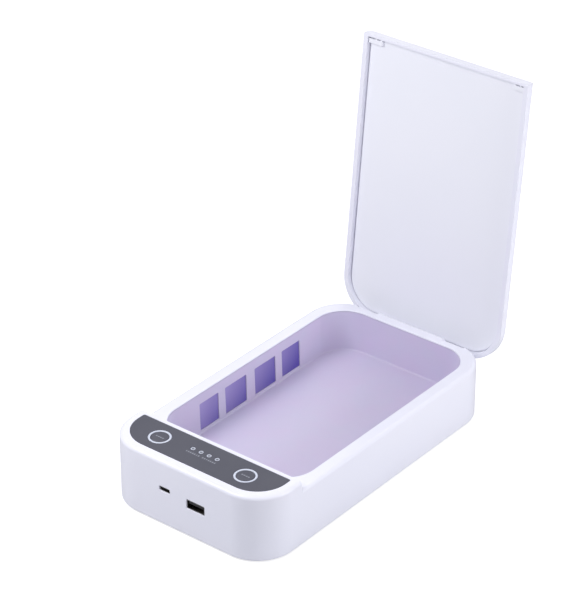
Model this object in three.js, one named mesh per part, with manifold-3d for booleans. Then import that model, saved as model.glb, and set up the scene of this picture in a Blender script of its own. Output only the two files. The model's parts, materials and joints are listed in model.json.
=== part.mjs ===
// UV sterilizer cabinet: a flat white box with a lilac tray, two ultraviolet lamps behind windows
// in the tray's long walls, a control deck at the front and a lid hinged at the rear.
// Millimetres, +Z up. +Y points from the control deck to the hinge, +X to the user's right.
// The lid is modelled closed and then turned back onto its stop.

import * as THREE from 'three';
import { mergeVertices } from 'three/addons/utils/BufferGeometryUtils.js';
import Module from 'manifold-3d';

const wasm = await Module();
wasm.setup();

// ---------------------------------------------------------------- driving dimensions

const GAP = 0.3;                 // clearance between pieces that touch on the bench
const WIDTH = 124;               // outer size along X
const LENGTH = 226;              // outer size along Y
const CORNER_R = 25.5;           // outer corners in plan
const WALL = 2.2;                // casing wall
const BASE_Z = 1.0;              // underside of the casing, which stands on its feet
const RIM_Z = 38.85;             // top of the rim around the tray
const DECK_Z = 45.6;             // top of the control deck and of the closed lid
const TOP_EDGE_R = 2.5;          // rounding of the upper outer edges
const BOTTOM_EDGE_R = 1.2;       // rounding of the lower outer edges
const RIM_PLATE = 2.0;           // thickness of the rim
const DECK_REAR_Y = -78.3;       // rear face of the control deck

const TRAY_HALF_X = 53;          // tray opening at the rim
const TRAY_FRONT_Y = -77;
const TRAY_REAR_Y = 104.5;
const TRAY_R = 20;
const TRAY_FLOOR_Z = 10;
const TRAY_WALL = 1.6;
const TRAY_DRAFT = 1.0;          // how far each wall leans in from the rim to the floor
const TRAY_FILLET = 2;           // between the walls and the floor
const TRAY_TOP_Z = RIM_Z - 0.9 - GAP;
const TRAY_MID_Y = (TRAY_FRONT_Y + TRAY_REAR_Y) / 2;

const WINDOW_LOW_Z = 11.9;
const WINDOW_HIGH_Z = 30.7;
const WINDOW_MID_Y = TRAY_MID_Y + 0.5;
const WINDOW_SPANS = [[-49.0, -31.1], [-24.6, -4.1], [4.1, 24.6], [31.1, 49.0]];   // from WINDOW_MID_Y
const WINDOW_SHEET = 0.8;        // thickness of the lamp window strip
const WINDOW_LAP = 1.1;          // how far the strip reaches past the windows, above and below
const WINDOW_STRIP_HALF = 51.5;  // half length of the strip

const LAMP_Z = (WINDOW_LOW_Z + WINDOW_HIGH_Z) / 2;
const LAMP_X = 57.1;
const LAMP_R = 1.7;
const LAMP_HALF_LENGTH = 64;
const HOLDER = { length: 9, innerX: 54.5, halfHeight: 4 };
const REFLECTOR = { innerX: 55.8, halfLength: 54, sheet: 0.4, fold: 2, foldIn: 1, below: 1.2, above: 1.6 };
const LEAD_R = 0.7;

const HINGE_Y = 110.1;
const HINGE_Z = 30.2;
const HINGE_X = 34;              // middle of each hinge arm
const ARM_WIDTH = 16;
const BARREL_R = 2.9;
const PIN_R = 1.5;
const LID_OPEN_DEG = 96.1;
const CHEEK = 3;                 // thickness of the casing beside each hinge arm
const SILL_Z = 26.65;            // ledge that the arm's back rests on when the lid is open

const LID_BOTTOM_Z = RIM_Z + GAP;
const LID_FRONT_Y = -77.7;
const LID_SIDE_WALL = 3.4;
const LID_FRONT_WALL = 2.0;
const LID_RECESS = 3.0;          // from the lid's lower edge to its inner panel
const LINER = 1.35;              // thickness of the inner panel
const MAGNET_BOSS = { left: 47.7, right: 53.0, front: -74.3, rear: -71.3, rise: 2.0, side: 1.1, end: 0.6 };
const RIM_MAGNET = { near: 51.5, far: 58.5, front: -76, rear: -72.6, height: 3 };
const LID_SENSOR = { left: -59, right: -56, front: -68, rear: -61, height: 2.4 };

const OVERLAY = { halfX: 56, front: -106.65, rear: -81.3, frontR: 20, rearR: 1, thick: 0.8 };
const DECK_PLATE_Z = 42.9;       // underside of the deck
const BUTTON_X = 32.8;
const BUTTON_Y = -94.0;
const BUTTON_R = 5.6;
const BUTTON_TRAVEL_GAP = 0.5;
const RING_R = 7.13;
const LED_Y = -91.3;
const LED_PITCH = 6.14;
const LED_R = 1.45;

const USB_A = { x: 10.4, z: 23.6, width: 13.1, height: 5.7, front: -112.6, rear: -98.6, sheet: 0.3 };
const MICRO_USB = { x: -13.3, z: 26.0, width: 7.5, height: 2.5, front: -112.5, rear: -107, sheet: 0.25 };

const COVER_TOP_Z = 3.6;
const COVER_RIBS = { y: [-60, -5, 50, 90], halfX: 36, halfThick: 0.8, top: TRAY_FLOOR_Z - TRAY_WALL - GAP };
const FOOT = { x: 43, y: 90, r: 5, top: 1.9 };
const SCREW = { x: 51, y: 102.3, shankR: 1.25, headR: 2.4 };
const POST_R = 3;

const CONTROL_BOARD = { halfX: 44, front: -106, rear: -83, low: 32.6, top: 34.2 };
const POWER_BOARD = { left: -6, right: 44, front: -109.8, rear: -83, low: 18.85, top: 20.45 };
const CHARGE_BOARD = { left: -24, right: -7, front: -109.8, rear: -92, low: 23.25, top: 24.45 };

const ARC_STEPS = 5;             // half the facets of a quarter-round corner in plan
const EDGE_STEPS = 3;            // facets of a rounded edge

// ---------------------------------------------------------------- finishes

function finish(color, roughness, metalness = 0) {
  return new THREE.MeshStandardMaterial({ color, roughness, metalness });
}

const FINISH = {
  white: finish(0xe4e3f2, 0.35),
  lilac: finish(0xbcb4d8, 0.4),
  violet: finish(0x7466b0, 0.25),
  overlay: finish(0x646b73, 0.45),
  ring: finish(0xc8cddc, 0.35),
  black: finish(0x1b1b1f, 0.5),
  board: finish(0x2f6b4a, 0.55),
  steel: finish(0xb9bcc2, 0.3, 1),
  magnet: finish(0x8f9298, 0.35, 1),
  rubber: finish(0x9a9aa4, 0.85),
  silicone: finish(0xdedee0, 0.7),
  glass: finish(0xdfe6f2, 0.08),
  wire: finish(0xd8d8dc, 0.6),
  ferrite: finish(0x3a3532, 0.7),
};

// ---------------------------------------------------------------- geometry helpers

function solid(geometry) {
  const bare = geometry.clone();
  bare.deleteAttribute('normal');
  bare.deleteAttribute('uv');
  const merged = mergeVertices(bare, 1e-5);
  const vertProperties = new Float32Array(merged.attributes.position.array);
  const triVerts = new Uint32Array(merged.index.array);
  return new wasm.Manifold(new wasm.Mesh({ numProp: 3, vertProperties, triVerts }));
}

function toGeometry(manifold) {
  const mesh = manifold.getMesh();
  const geometry = new THREE.BufferGeometry();
  geometry.setAttribute('position', new THREE.BufferAttribute(new Float32Array(mesh.vertProperties), 3));
  geometry.setIndex(new THREE.BufferAttribute(new Uint32Array(mesh.triVerts), 1));
  geometry.computeVertexNormals();
  return geometry;
}

function join(...pieces) {
  return pieces.reduce((sum, piece) => sum.add(piece));
}

function cut(body, ...tools) {
  return tools.reduce((rest, tool) => rest.subtract(tool), body);
}

// Rounded rectangle in plan; frontR rounds the two corners at low Y, rearR those at high Y.
function outline(x0, x1, y0, y1, frontR, rearR = frontR) {
  const shape = new THREE.Shape();
  shape.moveTo(x0 + frontR, y0);
  shape.lineTo(x1 - frontR, y0);
  shape.absarc(x1 - frontR, y0 + frontR, frontR, -Math.PI / 2, 0, false);
  shape.lineTo(x1, y1 - rearR);
  shape.absarc(x1 - rearR, y1 - rearR, rearR, 0, Math.PI / 2, false);
  shape.lineTo(x0 + rearR, y1);
  shape.absarc(x0 + rearR, y1 - rearR, rearR, Math.PI / 2, Math.PI, false);
  shape.lineTo(x0, y0 + frontR);
  shape.absarc(x0 + frontR, y0 + frontR, frontR, Math.PI, Math.PI * 1.5, false);
  return shape;
}

function slab(shape, z0, z1, edgeR = 0) {
  const geometry = new THREE.ExtrudeGeometry(shape, {
    depth: z1 - z0 - 2 * edgeR,
    curveSegments: ARC_STEPS,
    bevelEnabled: edgeR > 0,
    bevelThickness: edgeR,
    bevelSize: edgeR,
    bevelOffset: -edgeR,
    bevelSegments: EDGE_STEPS,
  });
  return geometry.translate(0, 0, z0 + edgeR);
}

// A block with its own rounding on the lower and on the upper edges.
function roundedBlock(shape, z0, z1, lowR, highR) {
  const low = solid(slab(shape, z0, z1 + 3 * lowR, lowR));
  const high = solid(slab(shape, z0 - 3 * highR, z1, highR));
  return low.intersect(high);
}

function box(x0, x1, y0, y1, z0, z1) {
  const geometry = new THREE.BoxGeometry(x1 - x0, y1 - y0, z1 - z0);
  return solid(geometry.translate((x0 + x1) / 2, (y0 + y1) / 2, (z0 + z1) / 2));
}

function postZ(x, y, z0, z1, r, sides = 16) {
  const geometry = new THREE.CylinderGeometry(r, r, z1 - z0, sides);
  return solid(geometry.rotateX(Math.PI / 2).translate(x, y, (z0 + z1) / 2));
}

function rodX(x0, x1, y, z, r, sides = 16) {
  const geometry = new THREE.CylinderGeometry(r, r, x1 - x0, sides);
  return solid(geometry.rotateZ(Math.PI / 2).translate((x0 + x1) / 2, y, z));
}

function turned(profile, sides = 24) {
  const points = profile.map(([r, z]) => new THREE.Vector2(r, z));
  return new THREE.LatheGeometry(points, sides).rotateX(Math.PI / 2);
}

// Leans every vertical wall inwards by inset over the height from topZ down to lowZ.
function drafted(geometry, topZ, lowZ, inset, midY) {
  const position = geometry.attributes.position;
  for (let i = 0; i < position.count; i += 1) {
    const shift = inset * (topZ - position.getZ(i)) / (topZ - lowZ);
    position.setX(i, position.getX(i) - Math.sign(position.getX(i)) * shift);
    position.setY(i, position.getY(i) - Math.sign(position.getY(i) - midY) * shift);
  }
  return geometry;
}

function tube(points, r, steps) {
  const path = new THREE.CatmullRomCurve3(points.map((p) => new THREE.Vector3(...p)), false, 'centripetal');
  const section = new THREE.Shape();
  section.absarc(0, 0, r, 0, Math.PI * 2, false);
  return new THREE.ExtrudeGeometry(section, { steps, curveSegments: 4, extrudePath: path });
}

const model = new THREE.Group();

function add(name, geometry, material, parent = model) {
  const mesh = new THREE.Mesh(geometry, material);
  mesh.name = name;
  parent.add(mesh);
  return mesh;
}

const SIDES = [['left', -1], ['right', 1]];

function mirroredX(x0, x1, side) {
  return side > 0 ? [x0, x1] : [-x1, -x0];
}

// ---------------------------------------------------------------- casing

const CASE_HALF_X = WIDTH / 2;
const CASE_HALF_Y = LENGTH / 2;

function caseOutline(inset) {
  const x = CASE_HALF_X - inset;
  const y = CASE_HALF_Y - inset;
  return outline(-x, x, -y, y, CORNER_R - inset);
}

function trayOutline(grow) {
  const x = TRAY_HALF_X + grow;
  return outline(-x, x, TRAY_FRONT_Y - grow, TRAY_REAR_Y + grow, TRAY_R + grow);
}

function overlayOutline(grow) {
  const { halfX, front, rear, frontR, rearR } = OVERLAY;
  return outline(-halfX - grow, halfX + grow, front - grow, rear + grow, frontR + grow, rearR + grow);
}

function ledX(index) {
  return (index - 1.5) * LED_PITCH;
}

function deckHoles(z0, z1) {
  const rings = SIDES.map(([, side]) => postZ(side * BUTTON_X, BUTTON_Y, z0, z1, RING_R + GAP, 24));
  const lights = [0, 1, 2, 3].map((i) => postZ(ledX(i), LED_Y, z0, z1, LED_R + GAP, 14));
  return [...rings, ...lights];
}

function socketHole({ x, z, width, height }) {
  const halfX = width / 2 + GAP;
  const halfZ = height / 2 + GAP;
  return box(x - halfX, x + halfX, -CASE_HALF_Y - 1, -CASE_HALF_Y + WALL + 1, z - halfZ, z + halfZ);
}

function hingeHousing(side) {
  const half = ARM_WIDTH / 2 + GAP;
  const [x0, x1] = mirroredX(HINGE_X - half - CHEEK, HINGE_X + half + CHEEK, side);
  return box(x0, x1, HINGE_Y - BARREL_R - 0.7, CASE_HALF_Y - 1, SILL_Z - WALL, RIM_Z - 1);
}

function hingeNotch(side) {
  const half = ARM_WIDTH / 2 + GAP;
  const [x0, x1] = mirroredX(HINGE_X - half, HINGE_X + half, side);
  const pocket = box(x0, x1, HINGE_Y - BARREL_R - 1.2, CASE_HALF_Y + 2, SILL_Z, RIM_Z - RIM_PLATE);
  const mouth = box(x0, x1, CASE_HALF_Y - LID_SIDE_WALL - GAP, CASE_HALF_Y + 2, SILL_Z, RIM_Z + 1);
  const [p0, p1] = mirroredX(HINGE_X - half - CHEEK - 1, HINGE_X + half + CHEEK + 1, side);
  return join(pocket, mouth, rodX(p0, p1, HINGE_Y, HINGE_Z, PIN_R + GAP));
}

function bodyShell() {
  const low = roundedBlock(caseOutline(0), BASE_Z, RIM_Z, BOTTOM_EDGE_R, TOP_EDGE_R);
  const deckRoom = box(-CASE_HALF_X, CASE_HALF_X, -CASE_HALF_Y - 1, DECK_REAR_Y, 0, DECK_Z + 1);
  const deck = roundedBlock(caseOutline(0), BASE_Z, DECK_Z, BOTTOM_EDGE_R, TOP_EDGE_R).intersect(deckRoom);
  const hollow = solid(slab(caseOutline(WALL), -1, RIM_Z - RIM_PLATE));
  const deckHollow = solid(slab(caseOutline(WALL), -1, DECK_PLATE_Z))
    .intersect(box(-CASE_HALF_X, CASE_HALF_X, -CASE_HALF_Y, DECK_REAR_Y - WALL, -1, DECK_Z));
  const mouth = solid(slab(trayOutline(0), 20, RIM_Z + 2));
  const rebate = solid(slab(trayOutline(TRAY_WALL + GAP), 20, TRAY_TOP_Z + GAP));
  const recess = solid(slab(overlayOutline(0.25), DECK_Z - OVERLAY.thick - GAP, DECK_Z + 1));
  const posts = [];
  const bores = [];
  for (const x of [-SCREW.x, SCREW.x]) {
    posts.push(postZ(x, -SCREW.y, COVER_TOP_Z + GAP, DECK_PLATE_Z + 0.5, POST_R));
    posts.push(postZ(x, SCREW.y, COVER_TOP_Z + GAP, RIM_Z - RIM_PLATE + 0.5, POST_R - 0.2));
    bores.push(postZ(x, -SCREW.y, 0, 14, SCREW.shankR + GAP));
    bores.push(postZ(x, SCREW.y, 0, 14, SCREW.shankR + GAP));
  }
  for (const x of [-20, 20]) {
    posts.push(postZ(x, -85.5, CONTROL_BOARD.top + GAP, DECK_PLATE_Z + 0.5, 1.8, 14));
    posts.push(postZ(x, -104, CONTROL_BOARD.top + GAP, DECK_PLATE_Z + 0.5, 1.8, 14));
  }
  const shell = cut(join(low, deck), hollow, deckHollow, mouth, rebate, recess);
  const inside = roundedBlock(caseOutline(0.5), BASE_Z, DECK_Z - 1.2, 0.5, 1);
  const fitted = join(...posts, hingeHousing(-1), hingeHousing(1)).intersect(inside);
  const notches = [hingeNotch(-1), hingeNotch(1)];
  const holes = deckHoles(DECK_PLATE_Z - 1, DECK_Z + 1);
  return cut(join(shell, fitted), ...notches, ...holes, ...bores, socketHole(USB_A), socketHole(MICRO_USB));
}

function bottomCover() {
  const plate = solid(slab(caseOutline(WALL + GAP), BASE_Z, COVER_TOP_Z));
  const { halfX, halfThick, top } = COVER_RIBS;
  const ribs = COVER_RIBS.y.map((y) => box(-halfX, halfX, y - halfThick, y + halfThick, BASE_Z + 1, top));
  const boardPosts = [[-2, -106], [-2, -87], [40, -106], [40, -87]]
    .map(([x, y]) => postZ(x, y, BASE_Z + 1, POWER_BOARD.low - GAP, 1.8, 14));
  const chargePosts = [[-20.5, -106], [-10.5, -95]]
    .map(([x, y]) => postZ(x, y, BASE_Z + 1, CHARGE_BOARD.low - GAP, 1.8, 14));
  const pockets = [];
  for (const sx of [-1, 1]) {
    for (const sy of [-1, 1]) {
      pockets.push(postZ(sx * FOOT.x, sy * FOOT.y, 0, FOOT.top + GAP, FOOT.r + GAP, 20));
      pockets.push(postZ(sx * SCREW.x, sy * SCREW.y, 0, 2.6, SCREW.headR + GAP));
      pockets.push(postZ(sx * SCREW.x, sy * SCREW.y, 0, 5, SCREW.shankR + GAP));
    }
  }
  return cut(join(plate, ...ribs, ...boardPosts, ...chargePosts), ...pockets);
}

function addFeetAndScrews() {
  const corners = [[-1, -1], [1, -1], [-1, 1], [1, 1]];
  const footProfile = [[0, 0], [4.4, 0], [FOOT.r, 0.6], [FOOT.r, FOOT.top], [0, FOOT.top]];
  const screwProfile = [
    [0, 1.5], [SCREW.headR, 1.5], [SCREW.headR, 2.3], [SCREW.shankR, 2.3], [SCREW.shankR, 11.5], [0, 12.4],
  ];
  corners.forEach(([sx, sy], i) => {
    const foot = turned(footProfile, 20).translate(sx * FOOT.x, sy * FOOT.y, 0);
    add(`rubber_foot_${i + 1}`, foot, FINISH.rubber);
    const screw = turned(screwProfile, 12).translate(sx * SCREW.x, sy * SCREW.y, 0);
    add(`cover_screw_${i + 1}`, screw, FINISH.steel);
  });
}

// ---------------------------------------------------------------- tray and lamps

function trayBlock(grow, floorZ, topZ, fillet) {
  const geometry = slab(trayOutline(grow), floorZ, topZ, fillet);
  return solid(drafted(geometry, RIM_Z, TRAY_FLOOR_Z, TRAY_DRAFT, TRAY_MID_Y));
}

function innerTray() {
  const outer = trayBlock(TRAY_WALL, TRAY_FLOOR_Z - TRAY_WALL, RIM_Z + 8, TRAY_FILLET)
    .intersect(box(-60, 60, -90, 110, 0, TRAY_TOP_Z));
  const inner = trayBlock(0, TRAY_FLOOR_Z, RIM_Z + 8, TRAY_FILLET);
  const windows = WINDOW_SPANS.map(([y0, y1]) =>
    box(-60, 60, WINDOW_MID_Y + y0, WINDOW_MID_Y + y1, WINDOW_LOW_Z, WINDOW_HIGH_Z));
  return cut(outer, inner, ...windows);
}

function wallX(z) {
  return TRAY_HALF_X - TRAY_DRAFT * (RIM_Z - z) / (RIM_Z - TRAY_FLOOR_Z);
}

function lampWindow(side) {
  const z0 = WINDOW_LOW_Z - WINDOW_LAP;
  const z1 = WINDOW_HIGH_Z + WINDOW_LAP;
  const inner = TRAY_WALL + GAP;
  const outer = inner + WINDOW_SHEET;
  const section = new THREE.Shape();
  section.moveTo(wallX(z0) + inner, z0);
  section.lineTo(wallX(z0) + outer, z0);
  section.lineTo(wallX(z1) + outer, z1);
  section.lineTo(wallX(z1) + inner, z1);
  return alongY(section, WINDOW_MID_Y - WINDOW_STRIP_HALF, WINDOW_MID_Y + WINDOW_STRIP_HALF, side);
}

// Extrudes an X-Z section along Y; side -1 mirrors it to the left of the box.
function alongY(section, y0, y1, side) {
  const geometry = new THREE.ExtrudeGeometry(section, { depth: y1 - y0, bevelEnabled: false });
  geometry.rotateX(Math.PI / 2).translate(0, y1, 0);
  return side > 0 ? geometry : geometry.rotateZ(Math.PI).translate(0, y0 + y1, 0);
}

function reflector(side) {
  const { innerX, halfLength, sheet, fold, foldIn, below, above } = REFLECTOR;
  const x1 = CASE_HALF_X - WALL - GAP;
  const z0 = WINDOW_LOW_Z - below;
  const z1 = WINDOW_HIGH_Z + above;
  const section = new THREE.Shape();
  section.moveTo(innerX, z0);
  section.lineTo(x1 - foldIn, z0);
  section.lineTo(x1, z0 + fold);
  section.lineTo(x1, z1 - fold);
  section.lineTo(x1 - foldIn, z1);
  section.lineTo(innerX, z1);
  section.lineTo(innerX, z1 - sheet);
  section.lineTo(x1 - foldIn - sheet / 2, z1 - sheet);
  section.lineTo(x1 - sheet, z1 - fold - sheet / 2);
  section.lineTo(x1 - sheet, z0 + fold + sheet / 2);
  section.lineTo(x1 - foldIn - sheet / 2, z0 + sheet);
  section.lineTo(innerX, z0 + sheet);
  return alongY(section, TRAY_MID_Y - halfLength, TRAY_MID_Y + halfLength, side);
}

function uvLamp(side) {
  const half = LAMP_HALF_LENGTH;
  const profile = [[0, -half], [1.0, -half], [LAMP_R, -half + 1], [LAMP_R, half - 1], [1.0, half], [0, half]];
  return turned(profile, 16).rotateX(Math.PI / 2).translate(side * LAMP_X, TRAY_MID_Y, LAMP_Z);
}

function lampHolder(side, end) {
  const span = (near, far) => [near, far].map((d) => TRAY_MID_Y + end * d).sort((a, b) => a - b);
  const mouth = LAMP_HALF_LENGTH - HOLDER.length + 1;
  const [y0, y1] = span(mouth, LAMP_HALF_LENGTH + 1);
  const [b0, b1] = span(mouth - 1, LAMP_HALF_LENGTH + GAP);
  const [x0, x1] = mirroredX(HOLDER.innerX, CASE_HALF_X - WALL - GAP, side);
  const block = box(x0, x1, y0, y1, LAMP_Z - HOLDER.halfHeight, LAMP_Z + HOLDER.halfHeight);
  const bore = new THREE.CylinderGeometry(LAMP_R + GAP, LAMP_R + GAP, b1 - b0, 16);
  bore.translate(side * LAMP_X, (b0 + b1) / 2, LAMP_Z);
  return toGeometry(cut(block, solid(bore)));
}

function addLamps() {
  const ends = [['front', -1], ['rear', 1]];
  for (const [label, side] of SIDES) {
    add(`lamp_window_${label}`, lampWindow(side), FINISH.violet);
    add(`lamp_reflector_${label}`, reflector(side), FINISH.steel);
    add(`uv_lamp_${label}`, uvLamp(side), FINISH.glass);
    for (const [endLabel, end] of ends) {
      add(`lamp_holder_${label}_${endLabel}`, lampHolder(side, end), FINISH.silicone);
    }
  }
}

// Each lamp has a short lead to its front end and a long one under the tray wall to its rear end.
function addLampLeads() {
  const frontEndY = TRAY_MID_Y - LAMP_HALF_LENGTH - 1 - GAP;
  const rearEndY = TRAY_MID_Y + LAMP_HALF_LENGTH + 1 + GAP;
  for (const [label, side] of SIDES) {
    const startX = side > 0 ? 30 : -3;
    const nearX = side > 0 ? 40 : -28;
    const short = [
      [startX, -82.2, 21.5], [nearX, -81.6, 22.0], [side * 52, -80, LAMP_Z],
      [side * LAMP_X, -70, LAMP_Z], [side * LAMP_X, frontEndY, LAMP_Z],
    ];
    const long = [
      [startX, -82.2, 17.5], [nearX, -81.4, 11.0], [side * 52, -79.5, 7.4], [side * 57, -68, 7.2],
      [side * 57, 0, 7.2], [side * 57, 72, 7.2], [side * 57, 86, 12], [side * LAMP_X, 87, 19],
      [side * LAMP_X, 83.5, LAMP_Z], [side * LAMP_X, rearEndY, LAMP_Z],
    ];
    add(`lamp_lead_${label}_front`, tube(short, LEAD_R, 20), FINISH.wire);
    add(`lamp_lead_${label}_rear`, tube(long, LEAD_R, 40), FINISH.wire);
  }
}

// ---------------------------------------------------------------- control deck

function addControls() {
  const sheet = solid(slab(overlayOutline(0), DECK_Z - OVERLAY.thick, DECK_Z));
  add('control_overlay', toGeometry(cut(sheet, ...deckHoles(DECK_Z - 3, DECK_Z + 1))), FINISH.overlay);
  const ringInner = BUTTON_R + GAP;
  const flangeTop = DECK_PLATE_Z - GAP;
  const flangeLow = flangeTop - 1.4;
  const ring = [
    [ringInner, DECK_Z], [ringInner, flangeLow], [8.6, flangeLow], [8.6, flangeTop],
    [RING_R, flangeTop], [RING_R, DECK_Z], [ringInner, DECK_Z],
  ];
  const capLow = flangeLow - BUTTON_TRAVEL_GAP;
  const cap = [
    [0, capLow - 2.1], [1.8, capLow - 2.1], [1.8, capLow - 1.0], [6.6, capLow - 1.0], [6.6, capLow],
    [BUTTON_R, capLow], [BUTTON_R, DECK_Z - 0.4], [BUTTON_R - 0.4, DECK_Z], [0, DECK_Z - 0.15],
  ];
  for (const [label, side] of SIDES) {
    const place = (g) => g.translate(side * BUTTON_X, BUTTON_Y, 0);
    add(`ring_light_${label}`, place(turned(ring)), FINISH.ring);
    add(`push_button_${label}`, place(turned(cap)), FINISH.overlay);
  }
  const lens = [
    [0, CONTROL_BOARD.top + 1.3], [LED_R, CONTROL_BOARD.top + 1.3], [LED_R, flangeLow], [2.3, flangeLow],
    [2.3, flangeTop], [LED_R, flangeTop], [LED_R, DECK_Z - 0.2], [LED_R - 0.4, DECK_Z], [0, DECK_Z],
  ];
  for (let i = 0; i < 4; i += 1) {
    add(`led_lens_${i + 1}`, turned(lens, 14).translate(ledX(i), LED_Y, 0), FINISH.ring);
  }
}

function switchSolid(x) {
  const low = CONTROL_BOARD.top + GAP;
  const body = box(x - 3, x + 3, BUTTON_Y - 3, BUTTON_Y + 3, low, low + 2.6);
  return join(body, postZ(x, BUTTON_Y, low + 2, low + 3.2, 1.6, 16));
}

function addControlBoard() {
  const { halfX, front, rear, low, top } = CONTROL_BOARD;
  add('control_board', slab(outline(-halfX, halfX, front, rear, 12, 1), low, top), FINISH.board);
  for (const [label, side] of SIDES) {
    add(`tact_switch_${label}`, toGeometry(switchSolid(side * BUTTON_X)), FINISH.black);
  }
  for (let i = 0; i < 4; i += 1) {
    const chip = box(ledX(i) - 1, ledX(i) + 1, LED_Y - 0.7, LED_Y + 0.7, top + GAP, top + 1.0);
    add(`led_chip_${i + 1}`, toGeometry(chip), FINISH.silicone);
  }
}

// ---------------------------------------------------------------- sockets and power

function socketShell({ x, z, width, height, front, rear, sheet }) {
  const halfX = width / 2;
  const halfZ = height / 2;
  const outer = box(x - halfX, x + halfX, front, rear, z - halfZ, z + halfZ);
  const inner = box(
    x - halfX + sheet, x + halfX - sheet, front - 1, rear - sheet, z - halfZ + sheet, z + halfZ - sheet);
  return toGeometry(cut(outer, inner));
}

function socketTongue(socket, tongueWidth, low, high, blockDepth) {
  const { x, z, width, height, front, rear, sheet } = socket;
  const back = rear - sheet - GAP;
  const halfX = width / 2 - sheet - GAP;
  const halfZ = height / 2 - sheet - GAP;
  const block = box(x - halfX, x + halfX, back - blockDepth, back, z - halfZ, z + halfZ);
  const tongue = box(x - tongueWidth / 2, x + tongueWidth / 2, front + 0.8, back - 0.5, z + low, z + high);
  return toGeometry(join(block, tongue));
}

function addSockets() {
  add('usb_a_shell', socketShell(USB_A), FINISH.steel);
  add('usb_a_tongue', socketTongue(USB_A, 11.1, 0.15, 1.99, 2.5), FINISH.black);
  add('micro_usb_shell', socketShell(MICRO_USB), FINISH.steel);
  add('micro_usb_tongue', socketTongue(MICRO_USB, 4.6, -0.2, 0.4, 1.2), FINISH.black);
}

function addPower() {
  const p = POWER_BOARD;
  const c = CHARGE_BOARD;
  add('power_board', slab(outline(p.left, p.right, p.front, p.rear, 2), p.low, p.top), FINISH.board);
  add('charge_board', slab(outline(c.left, c.right, c.front, c.rear, 1), c.low, c.top), FINISH.board);
  const core = box(24.5, 41.5, -103, -89, p.top + GAP, p.top + 9);
  const winding = box(27, 39, -104.5, -87.5, p.top + 2, p.top + 7.5);
  add('lamp_transformer', toGeometry(join(core, winding)), FINISH.ferrite);
  const can = [[0, 0], [3.2, 0], [3.2, 7.4], [2.8, 8], [0, 8]];
  add('filter_capacitor', turned(can, 18).translate(20.5, -91, p.top + GAP), FINISH.black);
  add('board_link', boardLink(), FINISH.wire);
}

// Flat cable between the two boards, bowed like a loose strip.
function boardLink() {
  const low = POWER_BOARD.top + GAP;
  const high = CONTROL_BOARD.low - GAP;
  const bow = 2.2;
  const thick = 0.6;
  const strip = new THREE.Shape();
  const steps = 10;
  for (let i = 0; i <= steps; i += 1) {
    const t = i / steps;
    const y = -87.5 + bow * Math.sin(Math.PI * t);
    const z = low + (high - low) * t;
    if (i === 0) strip.moveTo(-y, z);
    else strip.lineTo(-y, z);
  }
  for (let i = steps; i >= 0; i -= 1) {
    const t = i / steps;
    strip.lineTo(87.5 - bow * Math.sin(Math.PI * t) + thick, low + (high - low) * t);
  }
  const geometry = new THREE.ExtrudeGeometry(strip, { depth: 9, bevelEnabled: false });
  return geometry.rotateX(Math.PI / 2).rotateZ(-Math.PI / 2).translate(15, 0, 0);
}

// ---------------------------------------------------------------- lid and latch

function lidOutline(inset, frontY, frontR) {
  const x = CASE_HALF_X - inset;
  return outline(-x, x, frontY, CASE_HALF_Y - inset, frontR, CORNER_R - inset);
}

function hingeArm(side) {
  const [x0, x1] = mirroredX(HINGE_X - ARM_WIDTH / 2, HINGE_X + ARM_WIDTH / 2, side);
  const rearY = CASE_HALF_Y;
  const web = box(x0, x1, rearY - LID_SIDE_WALL, rearY, HINGE_Z, LID_BOTTOM_Z + 3);
  const barrel = rodX(x0, x1, HINGE_Y, HINGE_Z, BARREL_R, 32);
  const bore = rodX(x0 - 1, x1 + 1, HINGE_Y, HINGE_Z, PIN_R + GAP);
  return cut(join(web, barrel), bore);
}

function lidShell() {
  const linerTop = LID_BOTTOM_Z + LID_RECESS + LINER + GAP;
  const long = roundedBlock(lidOutline(0, -CASE_HALF_Y, 5), LID_BOTTOM_Z, DECK_Z, 0.4, TOP_EDGE_R);
  const block = long.intersect(box(-CASE_HALF_X, CASE_HALF_X, LID_FRONT_Y, CASE_HALF_Y, 0, DECK_Z));
  const recessShape = lidOutline(LID_SIDE_WALL, LID_FRONT_Y + LID_FRONT_WALL, 0.8);
  const recess = solid(slab(recessShape, LID_BOTTOM_Z - 1, linerTop));
  return join(cut(block, recess), hingeArm(-1), hingeArm(1));
}

// Inner and outer X of the magnet boss on one side of the lid.
function bossSpan(label, side) {
  return mirroredX(MAGNET_BOSS[label], CASE_HALF_X - LID_SIDE_WALL - GAP, side);
}

function lidLiner() {
  const faceZ = LID_BOTTOM_Z + LID_RECESS;
  const shape = lidOutline(LID_SIDE_WALL + GAP, LID_FRONT_Y + LID_FRONT_WALL + GAP, 0.8);
  const panel = solid(slab(shape, faceZ, faceZ + LINER));
  const bosses = [];
  const pockets = [];
  const { front, rear, rise, side: cheek, end } = MAGNET_BOSS;
  for (const [label, side] of SIDES) {
    const [x0, x1] = bossSpan(label, side);
    bosses.push(box(x0, x1, front, rear, faceZ - rise, faceZ + 0.5));
    pockets.push(box(x0 + cheek, x1 - cheek, front + end, rear - end, faceZ - rise + end, faceZ + LINER + 1));
  }
  return cut(join(panel, ...bosses), ...pockets);
}

function lidMagnet(label, side) {
  const { front, rear, rise, side: cheek, end } = MAGNET_BOSS;
  const faceZ = LID_BOTTOM_Z + LID_RECESS;
  const [x0, x1] = bossSpan(label, side);
  const sideGap = cheek + GAP;
  const endGap = end + GAP;
  return box(x0 + sideGap, x1 - sideGap, front + endGap, rear - endGap, faceZ - rise + endGap, faceZ + 1.0);
}

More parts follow.
